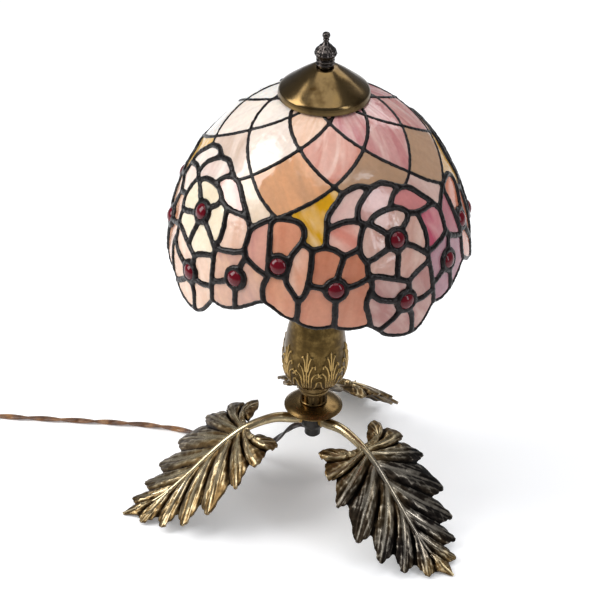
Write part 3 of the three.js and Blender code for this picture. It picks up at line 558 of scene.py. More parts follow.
def coil_path(width):
    """The coil's centre line: in along the lower layer, up, and out along the upper one."""
    pitch = width + COIL_GAP
    turns = COIL_WIDE * COIL_LAYERS
    floor = COIL_WIDE - 1
    low = low_of("cord_coil") + pitch / 2
    total = turns + 0.25
    points = []
    steps = round(total * COIL_POINTS)
    for i in range(steps + 1):
        t = total * i / steps
        whole = min(int(t), turns - 1)
        shift = eased((t - whole - 1 + COIL_STEP) / COIL_STEP) if whole < turns - 1 else 0.0
        here, there = (abs(floor + 0.5 - k) - 0.5 for k in (whole, whole + 1))
        inward = floor - (here + (there - here) * shift)
        layer = 0.0 if whole < floor else shift if whole == floor else 1.0
        radius = COIL_OUTER - pitch * inward
        turn = -math.pi / 2 - 2 * math.pi * t
        place = Vector((radius * math.cos(turn), radius * math.sin(turn), low + layer * pitch))
        points.append(COIL_CENTRE + place)
    return points


def flex_path(width):
    """The flex's centre line, from its outlet by the coil to the plug."""
    coil = coil_path(width)
    lead = curve_through([Vector(p) for p in FLEX_LEAD] + [coil[0] + COIL_ENTRY, coil[0]], 12)
    tail = curve_through([coil[-1]] + [Vector(p) for p in FLEX_TAIL], 12)
    return lead[:-1] + coil[:-1] + tail


def twin_section():
    """Outline of two round cores side by side, one unit from the middle to each outer edge."""
    half = []
    for i in range(11):
        turn = math.radians(-125 + 25 * i)
        half.append(Vector((0.5 + 0.5 * math.cos(turn), 0.5 * math.sin(turn))))
    return half + [-p for p in half]


def lay_flex(sizes):
    """Twists the twin flex along its path in place of the CAD's cord."""
    path = flex_path(sizes.width)
    lengths = [0.0]
    for a, b in zip(path, path[1:]):
        lengths.append(lengths[-1] + (b - a).length)

    def turn_at(share):
        return 2 * math.pi * lengths[round(share * (len(path) - 1))] / TWIST_PITCH

    bm = tube(path, lambda share: sizes.width / 2, twin_section(), turn_at)
    flex = finished("flex", bm, flex_finish(), slot="brown_flex", sharp=70)
    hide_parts("cord_lead", "cord_coil", "cord_tail")
    [c * MM for c in path[0]]
    [[c * MM for c in p] for p in path]


class LAMP_OT_flex(bpy.types.Operator):
    """Lays the twin flex and its coil, up to the plug"""

    bl_idname = "lamp.flex"
    bl_label = "Flex"

    def execute(self, context):
        lay_flex(context.scene.lamp_flex)
        return {"FINISHED"}


# ---- Body --------------------------------------------------------------------------------------

# The vase's outline from its foot to its top, as shares of its widest radius and of its height.
VASE_LINE = [
    (0.51, 0), (0.7, 0.02), (0.88, 0.08), (0.97, 0.155), (1, 0.235), (0.993, 0.31), (0.97, 0.38),
    (0.93, 0.48), (0.87, 0.59), (0.765, 0.72), (0.64, 0.85), (0.55, 0.945), (0.52, 1),
]
# Strokes of half an acanthus leaf, as millimetres from its middle and above the vase's foot.
ACANTHUS = [
    [(0, 1), (0, 14), (0, 28), (0, 43)],
    [(3.4, 3), (4, 12), (4.6, 19), (7, 23.4), (9.6, 23.6), (9.8, 21), (8.3, 20.3)],
    [(1.5, 14), (2.5, 24), (4.5, 30), (6.8, 31.3), (7, 28.8)],
    [(1, 26), (1.8, 34), (3.2, 38.5), (4.8, 38.6)],
    [(3, 2), (7, 8), (8.5, 14), (10, 15.5)],
    [(1.9, 4), (2.1, 14), (1.7, 22)],
]
ACANTHUS_HALF = ([0, 8, 16, 24, 31, 39, 44], [6, 9, 10.4, 10.4, 7.4, 4.6, 0.3])
ACANTHUS_TURN = math.radians(-90.7)
ACANTHUS_REACH = 26.0  # the radius at which the leaves' millimetres are measured
STROKE_HALF = 0.75
VASE_TOP_Z = 210.0
GROUND = 0.42  # how raised the metal counts as where it has no relief


def marked(piece, name, values):
    """Stores a number on each vertex of a piece."""
    piece.data.attributes.new(name, "FLOAT", "POINT").data.foreach_set("value", values)


def stretches_of(strokes):
    """Starts and ends of the short straight stretches along each stroke."""
    made = []
    for stroke in strokes:
        path = [tuple(p) for p in curve_through([Vector(p) for p in stroke], 5)]
        made.append((np.array(path[:-1]), np.array(path[1:])))
    return made


ACANTHUS_STRETCHES = stretches_of(ACANTHUS)


def acanthus_height(across, up):
    """Height from 0 to 1 of the relief at millimetres from a leaf's middle and above the foot."""
    point = np.array((abs(across), up))
    away = min(nearest_on(point, starts, ends)[1].min() for starts, ends in ACANTHUS_STRETCHES)
    stroke = math.sqrt(max(0.0, 1 - (away / STROKE_HALF) ** 2))
    half = np.interp(up, *ACANTHUS_HALF)
    body = eased((half - abs(across)) / 1.5 + 0.2) if up < 44 else 0.0
    return 0.28 * body + 0.72 * stroke


def make_vase(sizes):
    """The cast vase, with a ring of acanthus leaves in low relief."""
    foot = low_of("vase_body")
    height = VASE_TOP_Z - foot
    widest = radius_of("vase_body")
    line = rounded([(widest * r, foot + height * z) for r, z in VASE_LINE], 14)
    bm = spun([(PIPE_HOLE, foot), *line, (PIPE_HOLE, VASE_TOP_Z), (PIPE_HOLE, foot)], 448)
    step = 2 * math.pi / sizes.relief_leaves
    raised = bm.verts.layers.float.new("raised")
    for vert, radius, turn, out in around_axis(bm):
        vert[raised] = GROUND
        up = vert.co.z - foot
        if radius < PIPE_HOLE + 1 or not 0.5 < up < 48:
            continue
        across = (turn - ACANTHUS_TURN + step / 2) % step - step / 2
        relief = acanthus_height(across * ACANTHUS_REACH, up)
        vert[raised] = GROUND + 0.55 * relief**2 - 0.5 * relief * (1 - relief)
        vert.co += out * sizes.relief * relief
    finish = cast_finish("cast_antique_brass", "17100a", "574526", "a98c57", "5c4a2c", 0.22)
    vase = finished("vase", bm, finish, slot="antique_brass", sharp=60)
    marked(vase, "lit_gold", [1.0] * len(vase.data.vertices))
    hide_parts("vase_body")


# Outlines of the turned pieces, as millimetres out from the axis and above each piece's foot.
TURNED = {
    "base_disc": [
        (PIPE_HOLE, 0), (22.6, 0), (24.4, 0.4), (25.3, 1.1), (25.3, 1.8), (24.7, 2.2), (24.2, 2.5), (23.2, 3.4),
        (21.2, 4.4), (18.4, 5.3), (15, 5.9), (12.6, 6.2), (PIPE_HOLE, 6.2),
    ],
    "vase_neck": [
        (PIPE_HOLE, 0), (12.4, 0), (13.4, 0.7), (13.6, 1.7), (13.3, 2.5), (12.6, 3), (12.6, 6.4), (13.3, 7),
        (13.5, 8), (13.1, 9), (12.4, 9.4), (PIPE_HOLE, 9.4),
    ],
    "vase_cup": [
        (PIPE_HOLE, 0), (14, 0), (16.4, 0.6), (17, 1.6), (16.2, 2.6), (14, 3), (PIPE_HOLE, 3),
    ],
    "fluted_ring": [
        (PIPE_HOLE, 0), (11.4, 0), (11.9, 0.5), (11.9, 1.3), (11.5, 1.7), (11.5, 2), (11.5, 9), (11.6, 9.4),
        (12, 9.9), (12, 10.7), (11.5, 11.2), (PIPE_HOLE, 11.2),
    ],
}
FLUTES = 14
FLUTE_CELLS = 14  # steps round the ring to each flute
FLUTE_DEPTH = 1.7


def turned(node, segments):
    """A turned piece's bmesh, standing where its CAD node does."""
    low = low_of(node)
    line = [(r, low + up) for r, up in TURNED[node]]
    return spun([*line, line[0]], segments)


def make_turned_parts(brass, copper):
    """The disc and the neck under the vase, and the cup on top of it."""
    for name, finish in (("base_disc", copper), ("vase_neck", brass), ("vase_cup", brass)):
        piece = finished(f"{name}_turned", turned(name, 128), finish, slot="antique_brass")
        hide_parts(name)


def make_fluted_ring(brass):
    """A ring with tall rectangular flutes between two thin lines."""
    bm = turned("fluted_ring", FLUTES * FLUTE_CELLS)
    low = low_of("fluted_ring")
    for vert, radius, turn, out in around_axis(bm):
        if low + 1.9 < vert.co.z < low + 9.1 and radius >= PIPE_HOLE + 1:
            vert.co -= out * FLUTE_DEPTH * eased(0.5 + 2.2 * math.cos(turn * FLUTES))
    ring = finished("fluted_ring_cut", bm, brass, slot="antique_brass", sharp=40)
    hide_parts("fluted_ring")


class LAMP_OT_body(bpy.types.Operator):
    """Makes the vase with its acanthus relief and the turned pieces round it"""

    bl_idname = "lamp.body"
    bl_label = "Body"

    def execute(self, context):
        colours = context.scene.lamp_colours
        brass = brass_finish("antique_brass", tuple(colours.brass), 0.28)
        copper = brass_finish("coppered_brass", linear("77603c"), 0.24)
        make_vase(context.scene.lamp_body)
        make_turned_parts(brass, copper)
        make_fluted_ring(brass)
        return {"FINISHED"}


# ---- Leaves and arms ---------------------------------------------------------------------------

LEAF_TURNS = {"rear": 90, "left": 210, "right": 330}
# The line of an arm and of its leaf's rib, as millimetres out from the axis and up.
RIB_LINE = [
    (11, 80.5), (18, 80.65), (36, 83), (58, 77.5), (76, 66.5), (92, 53), (110, 36), (128, 20.5), (146, 9.5),
    (170, 2.6),
]
RIB_CURVE = tuple(zip(*rounded(RIB_LINE, 14)))
# Each lobe of half a leaf: where its vein leaves the rib, the point that bends it, and its tip.
LOBES = [
    (60, (64, 26), (41, 30)),
    (62, (68, 24), (62, 46)),
    (66, (76, 24), (82, 54)),
    (74, (92, 23), (107, 55)),
    (90, (110, 18), (127, 46)),
    (107, (126, 12), (143, 33)),
    (125, (142, 6), (157, 18)),
    (146, (160, 0), (170, 0)),
]
NOTCHES = [(56, 11), (51, 35), (66, 38), (85, 43), (109, 38), (127, 29), (142, 18), (157, 8)]
ROUND_LOBES = 2  # the first lobes are round, and the others come to a point
LEAF_TIP = 170.0  # how far out from the axis
LEAF_HALF = 56.0
LEAF_DROOP = 5.6  # how far the widest part of the outline hangs below the rib
LEAF_CELLS = (232, 96)  # steps along the outline and across from edge to edge
TEETH = 4  # to each lobe
TOOTH = 1.9
VEIN_HALF = 0.95
ARM_LENGTH = 60  # the arm's own part of the line, before the leaf begins


def lobe_point(share, q):
    """A flat point of half a leaf: share along its lobes, q from the rib to the outline."""
    place = share * (len(LOBES) - 0.5)
    lobe = min(int(place), len(LOBES) - 1)
    phase = place - lobe
    start, bend, tip = LOBES[lobe]
    tip = Vector(tip)
    before = Vector(NOTCHES[lobe])
    after = Vector(NOTCHES[lobe + 1]) if lobe + 1 < len(NOTCHES) else 2 * tip - before
    middle = (before + after) / 2
    turn = math.pi * phase
    if lobe < ROUND_LOBES:
        rim = middle + (tip - middle) * math.sin(turn) - (after - before) / 2 * math.cos(turn)
    else:
        rim = before.lerp(after, phase) + (tip - middle) * (1 - abs(2 * phase - 1) ** 1.45)
    notch = abs(math.sin(TEETH * turn)) - 0.6
    rim += (rim - middle).normalized() * TOOTH * notch * math.sin(turn) * min(1, abs(phase - 0.5) * 6)
    if lobe == len(LOBES) - 1 and phase > 0.499:
        rim = tip
    near = LOBES[max(lobe - 1, 0)] if phase < 0.5 else LOBES[min(lobe + 1, len(LOBES) - 1)]
    lean = abs(phase - 0.5)
    root = Vector((start + (near[0] - start) * lean, 0))
    control = Vector(bend).lerp(Vector(near[1]), lean)
    point = root * (1 - q) ** 2 + control * 2 * q * (1 - q) + rim * q * q
    return point, phase - 0.5, (after - before).length


def leaf_relief(sizes, phase, q, width):
    """Height of a leaf's surface over its smooth blade, in millimetres."""
    puff = sizes.puff * math.sin(2 * math.pi * abs(phase)) * math.sin(math.pi * min(q, 1) ** 0.8)
    spread = (0.3 + 0.7 * q) * max(width, 14)
    vein = sizes.vein * (1.15 - 0.7 * q) * math.exp(-((phase * spread / VEIN_HALF) ** 2))
    valley = -1.6 * math.exp(-(((0.5 - abs(phase)) * spread / 1.4) ** 2)) * eased(q * 2.5)
    side = abs(phase) * spread
    branch = max(math.sin(2 * math.pi * (q * 7 - side / 4.5)), 0) ** 3
    crease = noise.noise(Vector((side * 0.75, q * 5, width + 9 * (phase > 0))))
    wrinkles = 0.22 * branch + 0.55 * crease
    branches = wrinkles * eased(side / 1.8) * eased((0.5 - abs(phase)) * spread / 1.5)
    curl = -1.5 * max(q - 0.82, 0) / 0.18
    return puff + vein + valley + branches + curl, vein / sizes.vein + 1.1 * branches + puff / 9 + valley / 3


def painted_light_share(which, x, y):
    """How far a leaf is gold rather than gunmetal at a flat point of it: the gold is painted light
    from the window at the left and the gunmetal painted shade, with a random cloud over both.
    """
    cloud = noise.noise(Vector((x, y, 0)) * 0.035) * 0.35
    # painted light and shade: the left leaf lit gold, the right leaf shaded gunmetal but at its root and tip
    if which == "left":
        share = 0.9 - 0.35 * eased((-y - 5) / 25)
    elif which == "right":
        share = max(1.05 - eased((x - 52) / 34), eased((x - 140) / 22), 0.12) - 0.1 * eased(y / 30)
    else:
        share = 1.0
    return min(max(share + cloud, 0), 1)


def placed_leaf(which):
    """The matrix that turns a leaf and its arm, drawn along the X axis, to their place."""
    return Matrix.Translation(CENTRE) @ Matrix.Rotation(math.radians(LEAF_TURNS[which]), 4, "Z")


def make_leaf(which, sizes, finish):
    """A cast leaf, its halves fanned out from the rib, its veins raised and its lobes puffed."""
    bm = bmesh.new()
    bmesh.ops.create_grid(bm, x_segments=LEAF_CELLS[0], y_segments=LEAF_CELLS[1], size=0.5)
    raised = bm.verts.layers.float.new("raised")
    lit_gold = bm.verts.layers.float.new("lit_gold")
    for vert in bm.verts:
        share, q = min(vert.co.x + 0.5, 1.0), min(abs(2 * vert.co.y), 1.0)
        side = -1 if vert.co.y < 0 else 1
        flat, phase, width = lobe_point(share, q)
        lift, shown = leaf_relief(sizes, phase, q, width)
        fade = eased((LEAF_TIP - flat.x) / 20)
        droop = LEAF_DROOP * (flat.y / LEAF_HALF) ** 2
        rib = float(np.interp(flat.x, *RIB_CURVE))
        vert.co = (flat.x, side * flat.y, rib - droop + lift * fade)
        vert[raised] = 0.38 + 0.55 * shown
        vert[lit_gold] = painted_light_share(which, flat.x, side * flat.y)
    bmesh.ops.remove_doubles(bm, verts=bm.verts, dist=0.02)
    bmesh.ops.recalc_face_normals(bm, faces=bm.faces)
    if sum(face.normal.z for face in bm.faces) < 0:
        bmesh.ops.reverse_faces(bm, faces=bm.faces)
    blade = sizes.leaf_thickness * 0.75
    for vert in bm.verts:
        vert.co.z = max(vert.co.z, blade + 0.15)
    bmesh.ops.transform(bm, matrix=placed_leaf(which), verts=bm.verts)
    leaf = finished(f"leaf_{which}_cast", bm, finish, slot="cast_bronze", sharp=55)
    wall = leaf.modifiers.new("wall", "SOLIDIFY")
    wall.thickness = blade * MM
    wall.offset = -1
    wall.use_even_offset = False
    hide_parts(f"leaf_{which}")


def make_arm(which, finish):
    """A bent arm, which thins out along the leaf as its rib."""
    turn = placed_leaf(which)
    path = [turn @ Vector((x, 0, z)) for x, z in zip(*RIB_CURVE)]

    def half_thickness(share):
        return float(np.interp(share, [0, 0.12, 0.28, 0.5, 1], [5.1, 4.8, 3.9, 2.9, 0.9]))

    bm = tube(path, half_thickness, round_section(28))
    for vert in bm.verts:
        vert.co.z = max(vert.co.z, 0.1)
    arm = finished(f"arm_{which}_bent", bm, finish, slot="antique_brass", sharp=60)
    outs = [(turn.inverted() @ (v.co / MM)).x for v in arm.data.vertices]
    # the arm's leaf end takes its leaf's painted light and shade
    marked(arm, "lit_gold", [1.0 if out < ARM_LENGTH else painted_light_share(which, out, 0) for out in outs])
    marked(arm, "raised", [0.72 if out < ARM_LENGTH else 0.8 for out in outs])
    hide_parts(f"arm_{which}")


class LAMP_OT_leaves(bpy.types.Operator):
    """Casts the three leaves and bends the arms that carry the lamp"""

    bl_idname = "lamp.leaves"
    bl_label = "Leaves"

    def execute(self, context):
        finish = cast_finish("cast_leaf_bronze", "1c1309", "6b5535", "cfbd96", "292420", 0.25)
        for which in LEAF_TURNS:
            make_leaf(which, context.scene.lamp_body, finish)
            make_arm(which, finish)
        return {"FINISHED"}


# ---- Cap and finial ----------------------------------------------------------------------------


def make_cap(brass):
    """A spun bell over the dome's aperture: a soft shoulder, a cone and an upright rim."""
    low, high = low_of("vase_cap"), high_of("vase_cap")
    wall = 1.0
    outer = rounded(
        [
            (8.5, high), (11.3, high - 0.9), (19, high - 5.9), (27.5, high - 12.3), (33.8, high - 17.2),
            (36.2, high - 19.6), (36.9, high - 22), (37.3, low),
        ],
        8,
    )
    inner = [(r - 0.75 * wall, z - wall) for r, z in outer[:-1]] + [(outer[-1][0] - wall, low)]
    profile = [(STUD_HOLE, high), *outer, *reversed(inner), (STUD_HOLE, high - wall), (STUD_HOLE, high)]
    cap = finished("cap_spun", spun(profile, 160), brass, "shade", "satin_brass", 35)
    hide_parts("vase_cap")


# The finial's outline, as millimetres above its foot and out from the axis.
FINIAL_LINE = [
    (0, 7.3), (1.4, 7.6), (2.1, 6.6), (3, 7.2), (4.4, 7.4), (5, 6.5), (6, 7.0), (7.3, 7.6), (9, 8.6),
    (10.6, 8.9), (13, 8.0), (16, 5.2), (18.5, 3.0), (20.4, 2.1), (21.8, 2.6), (22.9, 2.1), (24, 2.9),
    (25.6, 3.2), (27.4, 2.4), (28.4, 0.01),
]
STUD_DEPTH = 11  # of the hole in its foot
BEADS = 9  # round the finial in each of two crossing rows
BEAD = 0.38


def make_finial():
    """A cast finial: an onion on stepped rings under a ball, with a beaded lattice in its sides."""
    low = low_of("finial")
    outline = rounded([(r, low + z) for z, r in FINIAL_LINE], 6)
    bm = spun([(STUD_HOLE, low + STUD_DEPTH), (STUD_HOLE, low), *outline], 112)
    for vert, radius, turn, out in around_axis(bm):
        up = vert.co.z - low
        if radius >= 4.2 and 6 < up < 17:
            bead = math.sin(BEADS * turn + up * 0.95) * math.sin(BEADS * turn - up * 0.95)
            vert.co += out * BEAD * bead
    bmesh.ops.holes_fill(bm, edges=[e for e in bm.edges if e.is_boundary])
    finish = brass_finish("black_nickel", linear("4a4543"), 0.13, 400.0)
    finial = finished("finial_cast", tidied(bm), finish, "finial", "nickel", 50)
    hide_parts("finial")


class LAMP_OT_top(bpy.types.Operator):
    """Spins the cap and casts the finial"""

    bl_idname = "lamp.top"
    bl_label = "Cap and Finial"

    def execute(self, context):
        make_cap(brass_finish("satin_antique_brass", tuple(context.scene.lamp_colours.brass), 0.16, 45.0))
        make_finial()
        return {"FINISHED"}


# ---- Insides and small parts -------------------------------------------------------------------


def plain_finish(name, colour, grain, **sockets):
    """Moulded or rolled material whose colour is uneven at a size in millimetres."""
    material, tree, shader = new_finish(name, **sockets)
    place = add_node(tree, "ShaderNodeTexCoord", {}).outputs["Object"]
    clouds = add_node(tree, "ShaderNodeTexNoise", {"Vector": place, "Scale": 1000 / grain, "Detail": 4.0})
    stops = [(0.3, tuple(c * 0.78 for c in colour)), (0.7, tuple(min(c * 1.12, 1) for c in colour))]
    tone = add_node(tree, "ShaderNodeValToRGB", {"Fac": clouds}, stops)
    bump = add_node(tree, "ShaderNodeBump", {"Height": clouds, "Strength": 0.15, "Distance": 0.0002})
    feed(shader, {"Base Color": tone, "Normal": bump})
    return material


def small_part_finishes(colours):
    """A finish for each material slot of the CAD's own solids that stay in view."""
    brass = tuple(colours.brass)
    return {
        "cast_bronze": brass_finish("hub_bronze", linear("4e3d28"), 0.36),
        "antique_brass": brass_finish("fitting_brass", brass, 0.3),
        "satin_brass": brass_finish("bright_brass", linear("b08e52"), 0.3),
        "dark_steel": brass_finish("blackened_steel", linear("3a3836"), 0.38),
        "nickel": brass_finish("black_nickel_fitting", linear("8a8580"), 0.2),
        "aluminium": plain_finish("rolled_aluminium", linear("c4c4c2"), 3, Metallic=1.0, Roughness=0.35),
        "solder": solder_finish(),
        "opal_glass": plain_finish("opal_bulb_glass", linear("f6f3ea"), 20, Roughness=0.12, Coat_Weight=0.3),
        "cardboard": plain_finish("insulating_card", linear("8b7a5e"), 2, Roughness=0.85),
        "phenolic": plain_finish("brown_phenolic", linear("2c1b12"), 5, Roughness=0.35),
        "brown_flex": plain_finish("brown_pvc_mould", linear("5a3a22"), 4, Roughness=0.38),
    }


# The bulb's outline from its cap up, as shares of its widest radius and of its height.
BULB_LINE = [
    (0.4, 0), (0.42, 0.06), (0.5, 0.2), (0.78, 0.45), (0.96, 0.6), (1, 0.7), (0.93, 0.83), (0.72, 0.93),
    (0.4, 0.985), (0.002, 1),
]


def blow_bulb(finish):
    """A round version of the bulb, which shows from below."""
    low, widest = low_of("bulb_globe"), radius_of("bulb_globe")
    tall = high_of("bulb_globe") - low
    profile = rounded([(widest * r, low + tall * z) for r, z in BULB_LINE], 6)
    bulb = finished("bulb_glass", spun([(0.01, low), *profile], 96), finish, "bulb", "opal_glass", 45)
    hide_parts("bulb_globe")


class LAMP_OT_fittings(bpy.types.Operator):
    """Finishes the lampholder, harp, bulb, hub, plug and other small parts"""

    bl_idname = "lamp.fittings"
    bl_label = "Fittings"

    def execute(self, context):
        finishes = small_part_finishes(context.scene.lamp_colours)
        blow_bulb(finishes["opal_glass"])
        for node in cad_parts.values():
            for slot in node.material_slots:
                finish = finishes.get(slot.material.name.split(".")[0])
                if finish:
                    slot.material = finish
        return {"FINISHED"}


# ---- Shade -------------------------------------------------------------------------------------

WIDEST_R = 125.0  # the dome's outer line, in millimetres
WIDEST_Z = 262.0
APERTURE_R = 35.0
SKIRT_DROP = 548.0  # how gently the skirt draws in below the widest ring
CROWN_RISE = 137.0
SIDE_POWER = 2.123  # how square the crown's shoulder is
CROWN_POWER = 1.751
FOOT_Z = 160.0  # below the hem
GLASS_DEPTH = 1.5  # from the outer line in to the middle of the glass
QUARTERS = 4
MARKS = 94.0  # marks across the quarter of the pattern that repeats
MARK = 1.7  # millimetres to a mark while the seams are laid out flat
PATTERN_TURN = math.radians(-76.67) - 20 / MARKS * math.pi / 2
GRID_STEP = 4.5  # between points inside a pane, in millimetres
LOOSE_END = 5.0  # how far a seam's end is carried on to meet another seam
CROSSING = 0.05  # how far it goes past it
FEWEST_FACES = 6  # what has no more is a sliver between seams, and not a pane
PAINTED_LIGHT_SIDE = math.radians(-177)  # the direction of the window at the left, toward which the glass is painted palest: painted light over the glass's own cream to rose

# The seams of one quarter, as (marks across, millimetres down the glass from the aperture).
LATTICE_SEAMS = [
    [(20, 0), (27, 7), (50.5, 35), (74, 65), (83, 78), (94, 91)],
    [(-27, 0), (-20, 8), (3.5, 34), (27, 63), (31.5, 68)],
    [(34, 0), (27, 7), (3.5, 34), (-20, 65), (-27, 73)],
    [(81, 0), (74, 8), (50.5, 35), (27, 63), (13, 78), (0, 91)],
]
LEFT_SEAMS = [
    [(0, 91), (-1.8, 96), (-1.2, 108), (-0.3, 125), (0, 138)],
    [(0, 138), (-1.2, 146), (-1.3, 152), (-0.5, 159.5)],
    [(-1.2, 93), (1, 91.5), (6, 90.5), (11, 92.2), (13.4, 98.5), (13, 105.5), (11, 112)],
    [(11, 112), (9, 118), (8.3, 125), (7.6, 134), (8, 141), (10.5, 148), (13, 155.5)],
    [(12.3, 108), (15, 109.5), (17.3, 112.7)],
    [
        (17.3, 112.7), (17.2, 125), (16.7, 135), (16.2, 142), (15, 149.5), (13, 155.5), (12.9, 163),
        (12.4, 172.5),
    ],
    [(17.3, 112.7), (20, 111), (23, 110.2), (26.5, 111.7), (29.5, 115.5), (30.5, 117.5)],
    [(30.5, 117.5), (28.8, 127), (27.8, 135)],
    [(16.3, 141), (20, 142), (23, 143.5)],
    [(27.1, 152.5), (27, 163), (26.9, 176.7)],
    [(31.2, 142.3), (34.5, 141.5), (38, 138.5), (40.7, 135.5)],
    [(30.5, 117.5), (34, 114.5), (37.4, 111.8)],
]
FLOWER_SEAMS = [
    [(23, 110), (23, 103.5), (23.3, 97), (23.3, 91), (23.7, 86), (25.7, 80), (28.7, 74), (31.5, 68)],
    [(31.5, 68), (35, 65.5), (40, 63.5), (44, 65), (47, 66.5)],
    [(47, 66.5), (51, 65), (54, 64.5), (58, 67), (61, 69.7), (64, 72.4)],
    [(64, 72.4), (68, 74.3), (71.5, 79), (75, 86), (78, 91.5), (80.8, 98), (83, 105)],
    [(40.3, 93.5), (38.3, 102), (37.3, 110), (37.8, 118), (39.7, 124), (40, 131), (40.8, 136)],
    [(40.8, 136), (41.5, 144), (40, 151), (39, 159), (39.8, 167), (41, 178.5)],
    [(23.3, 96), (27, 92.8), (31, 90.5), (34, 90), (38, 91.5), (40.3, 93.5)],
    [(47, 66.5), (42, 73), (38.7, 80), (37.7, 87), (37.8, 91.3)],
    [(40.3, 93.5), (42.3, 93.8), (45, 89.5), (49, 86.6), (54.5, 85.6)],
    [(54.5, 85.6), (56.5, 80), (58.5, 76.3), (61.5, 73.6), (64, 72.4)],
    [(54.5, 85.6), (58, 86.3), (61.3, 89.7), (64, 93.8), (68, 96.2), (73, 96.7), (78, 96.5), (80.5, 98)],
    [(42.3, 94), (46, 98), (49, 102.3), (51.2, 105.8)],
    [(63.3, 93), (61.8, 98.5), (58.7, 103), (57.5, 105)],
    [(68.3, 96.3), (69, 104), (69.8, 112), (69.6, 120.5), (68.8, 127.5), (68.5, 132)],
    [(39.6, 123.5), (43, 121.7), (47, 118.3), (51, 115)],
    [(54.2, 119), (54, 125), (53, 133), (52.6, 141), (53, 143)],
    [(40.8, 135.3), (45, 137), (49, 140), (53, 143), (57.7, 147.3)],
    [(58.5, 116.5), (62.7, 121.2), (65.7, 126.3), (68, 130.8)],
    [(57.7, 147.3), (60, 143.5), (64, 140), (68.5, 137)],
    [(41.3, 148), (42.5, 152.7), (45, 157), (49, 159.8), (52.3, 161)],
    [(57.7, 147.3), (57.6, 152), (57.5, 156)],
    [(59.8, 166.5), (64, 166.5), (67, 164.5), (69.7, 162.5)],
    [(53.3, 169), (52.3, 173.5), (49, 179), (44.5, 184.5)],
    [(57, 171.3), (58.8, 177), (59.4, 186), (59.3, 195)],
]
RIGHT_SEAMS = [
    [(83, 105), (82.8, 113), (82.5, 120), (83.5, 127), (82.5, 133), (81.5, 139)],
    [(83.5, 127), (86.5, 131), (90, 134.5), (94, 138)],
    [(83, 105), (86, 99.5), (90, 94.5), (94, 91)],
    [(68.8, 129), (71, 129.5), (75, 128), (79, 126), (82.7, 122.5)],
    [(68.5, 131), (68.7, 138), (69, 145), (69.3, 152), (69.6, 160), (70, 168), (70.2, 176)],
    [(69.6, 158.5), (73.5, 155.3), (76.7, 151.5)],
    [(80.8, 155.5), (81.2, 163), (81.2, 172.5)],
]
HEM = [
    (-0.5, 159.5), (3, 163), (7, 168.5), (11, 171.5), (12.5, 172.3), (15, 175.5), (20, 177.8), (25, 176.5),
    (27, 176.7), (29, 178.3), (34, 179.5), (39.5, 178), (41.3, 179.5), (44.5, 184.5), (47, 189.5), (51, 193),
    (56, 195.3), (60.5, 195), (64, 191), (67, 184), (70.1, 176), (75, 177), (80, 174.3), (84, 170.5),
    (88, 165.5), (91, 161.5), (93.5, 159.5),
]
CABOCHONS = [(4, 128), (27.2, 144), (54.5, 111), (80.5, 147), (56, 163.5)]

# Where each pane is, the way its streaks run in degrees, and its glass from the cream side, paler
# there with painted light from the window, to the rose side.
PANES = [
    (17, 91, 60, "d8ab58", "cf9c48"),
    (80, 88, 70, "e6d3bb", "c9a19a"),
    (6, 102, 80, "ecd2bd", "d99a86"),
    (12.5, 131, 85, "e6c0a4", "d58a72"),
    (4.5, 151, 75, "e4bfa4", "d07a68"),
    (89, 115, 80, "e3b8a2", "b97a80"),
    (23.4, 126, 85, "ead0b8", "d8937d"),
    (33.5, 128, 80, "e8cdb6", "d0988a"),
    (19.5, 163, 70, "e6c6ac", "d08a7a"),
    (34, 163, 100, "e6c2a6", "cb7a62"),
    (31, 102, 50, "f0dcd0", "d97f6e"),
    (33, 78, 130, "f3e6dc", "dba79f"),
    (48, 77, 80, "f4e9df", "d7a49c"),
    (66, 86, 45, "f1ddcf", "d99794"),
    (75.5, 114, 80, "e9cfb4", "bf6676"),
    (75, 140, 60, "e6bfa2", "ad808c"),
    (75, 167, 80, "e2b394", "a8788a"),
    (87, 157, 60, "dba988", "96656f"),
    (53, 95, 90, "fbf6ef", "dc8f9c"),
    (44, 108, 50, "faf3ea", "d86e68"),
    (48, 128, 120, "f0e2c8", "cd9d92"),
    (60, 132, 60, "e9d6b8", "c9696f"),
    (64, 112, 30, "e8dac6", "cf7f92"),
    (49, 147, 80, "e8c2a4", "b7665a"),
    (63, 153, 100, "e4bfa2", "ac6a70"),
    (46, 167, 60, "e6c6ae", "b18079"),
    (52, 186, 85, "e0a986", "9c5c5c"),
    (64, 177, 70, "dfb795", "9c5b6b"),
]
GLASS_TONE = 0.86  # what the glass's colours are darkened by, under the studio's light


def dome_line():
    """The dome's outer line as rows of drop, radius and height, from the aperture down."""

    def radius(z):
        if z < WIDEST_Z:
            return WIDEST_R * (1 - ((z - WIDEST_Z) / SKIRT_DROP) ** 2)
        return WIDEST_R * (1 - ((z - WIDEST_Z) / CROWN_RISE) ** CROWN_POWER) ** (1 / SIDE_POWER)

    top = WIDEST_Z + CROWN_RISE * (1 - (APERTURE_R / WIDEST_R) ** SIDE_POWER) ** (1 / CROWN_POWER)
    heights = np.arange(top, FOOT_Z, -0.25)
    radii = np.array([radius(z) for z in heights])
    drops = np.concatenate([[0], np.cumsum(np.hypot(np.diff(heights), np.diff(radii)))])
    return drops, radii, heights


DROPS, RADII, HEIGHTS = dome_line()
RADII_SLOPE = np.gradient(RADII, DROPS)
HEIGHTS_SLOPE = np.gradient(HEIGHTS, DROPS)


def on_dome(x, y, out=-GLASS_DEPTH):
    """The point some marks across and millimetres down the glass, and some out from its outer line."""
    turn = PATTERN_TURN + x / MARKS * math.pi / 2
    radius = np.interp(y, DROPS, RADII) - out * np.interp(y, DROPS, HEIGHTS_SLOPE)
    height = np.interp(y, DROPS, HEIGHTS) + out * np.interp(y, DROPS, RADII_SLOPE)
    return CENTRE + Vector((radius * math.cos(turn), radius * math.sin(turn), height))


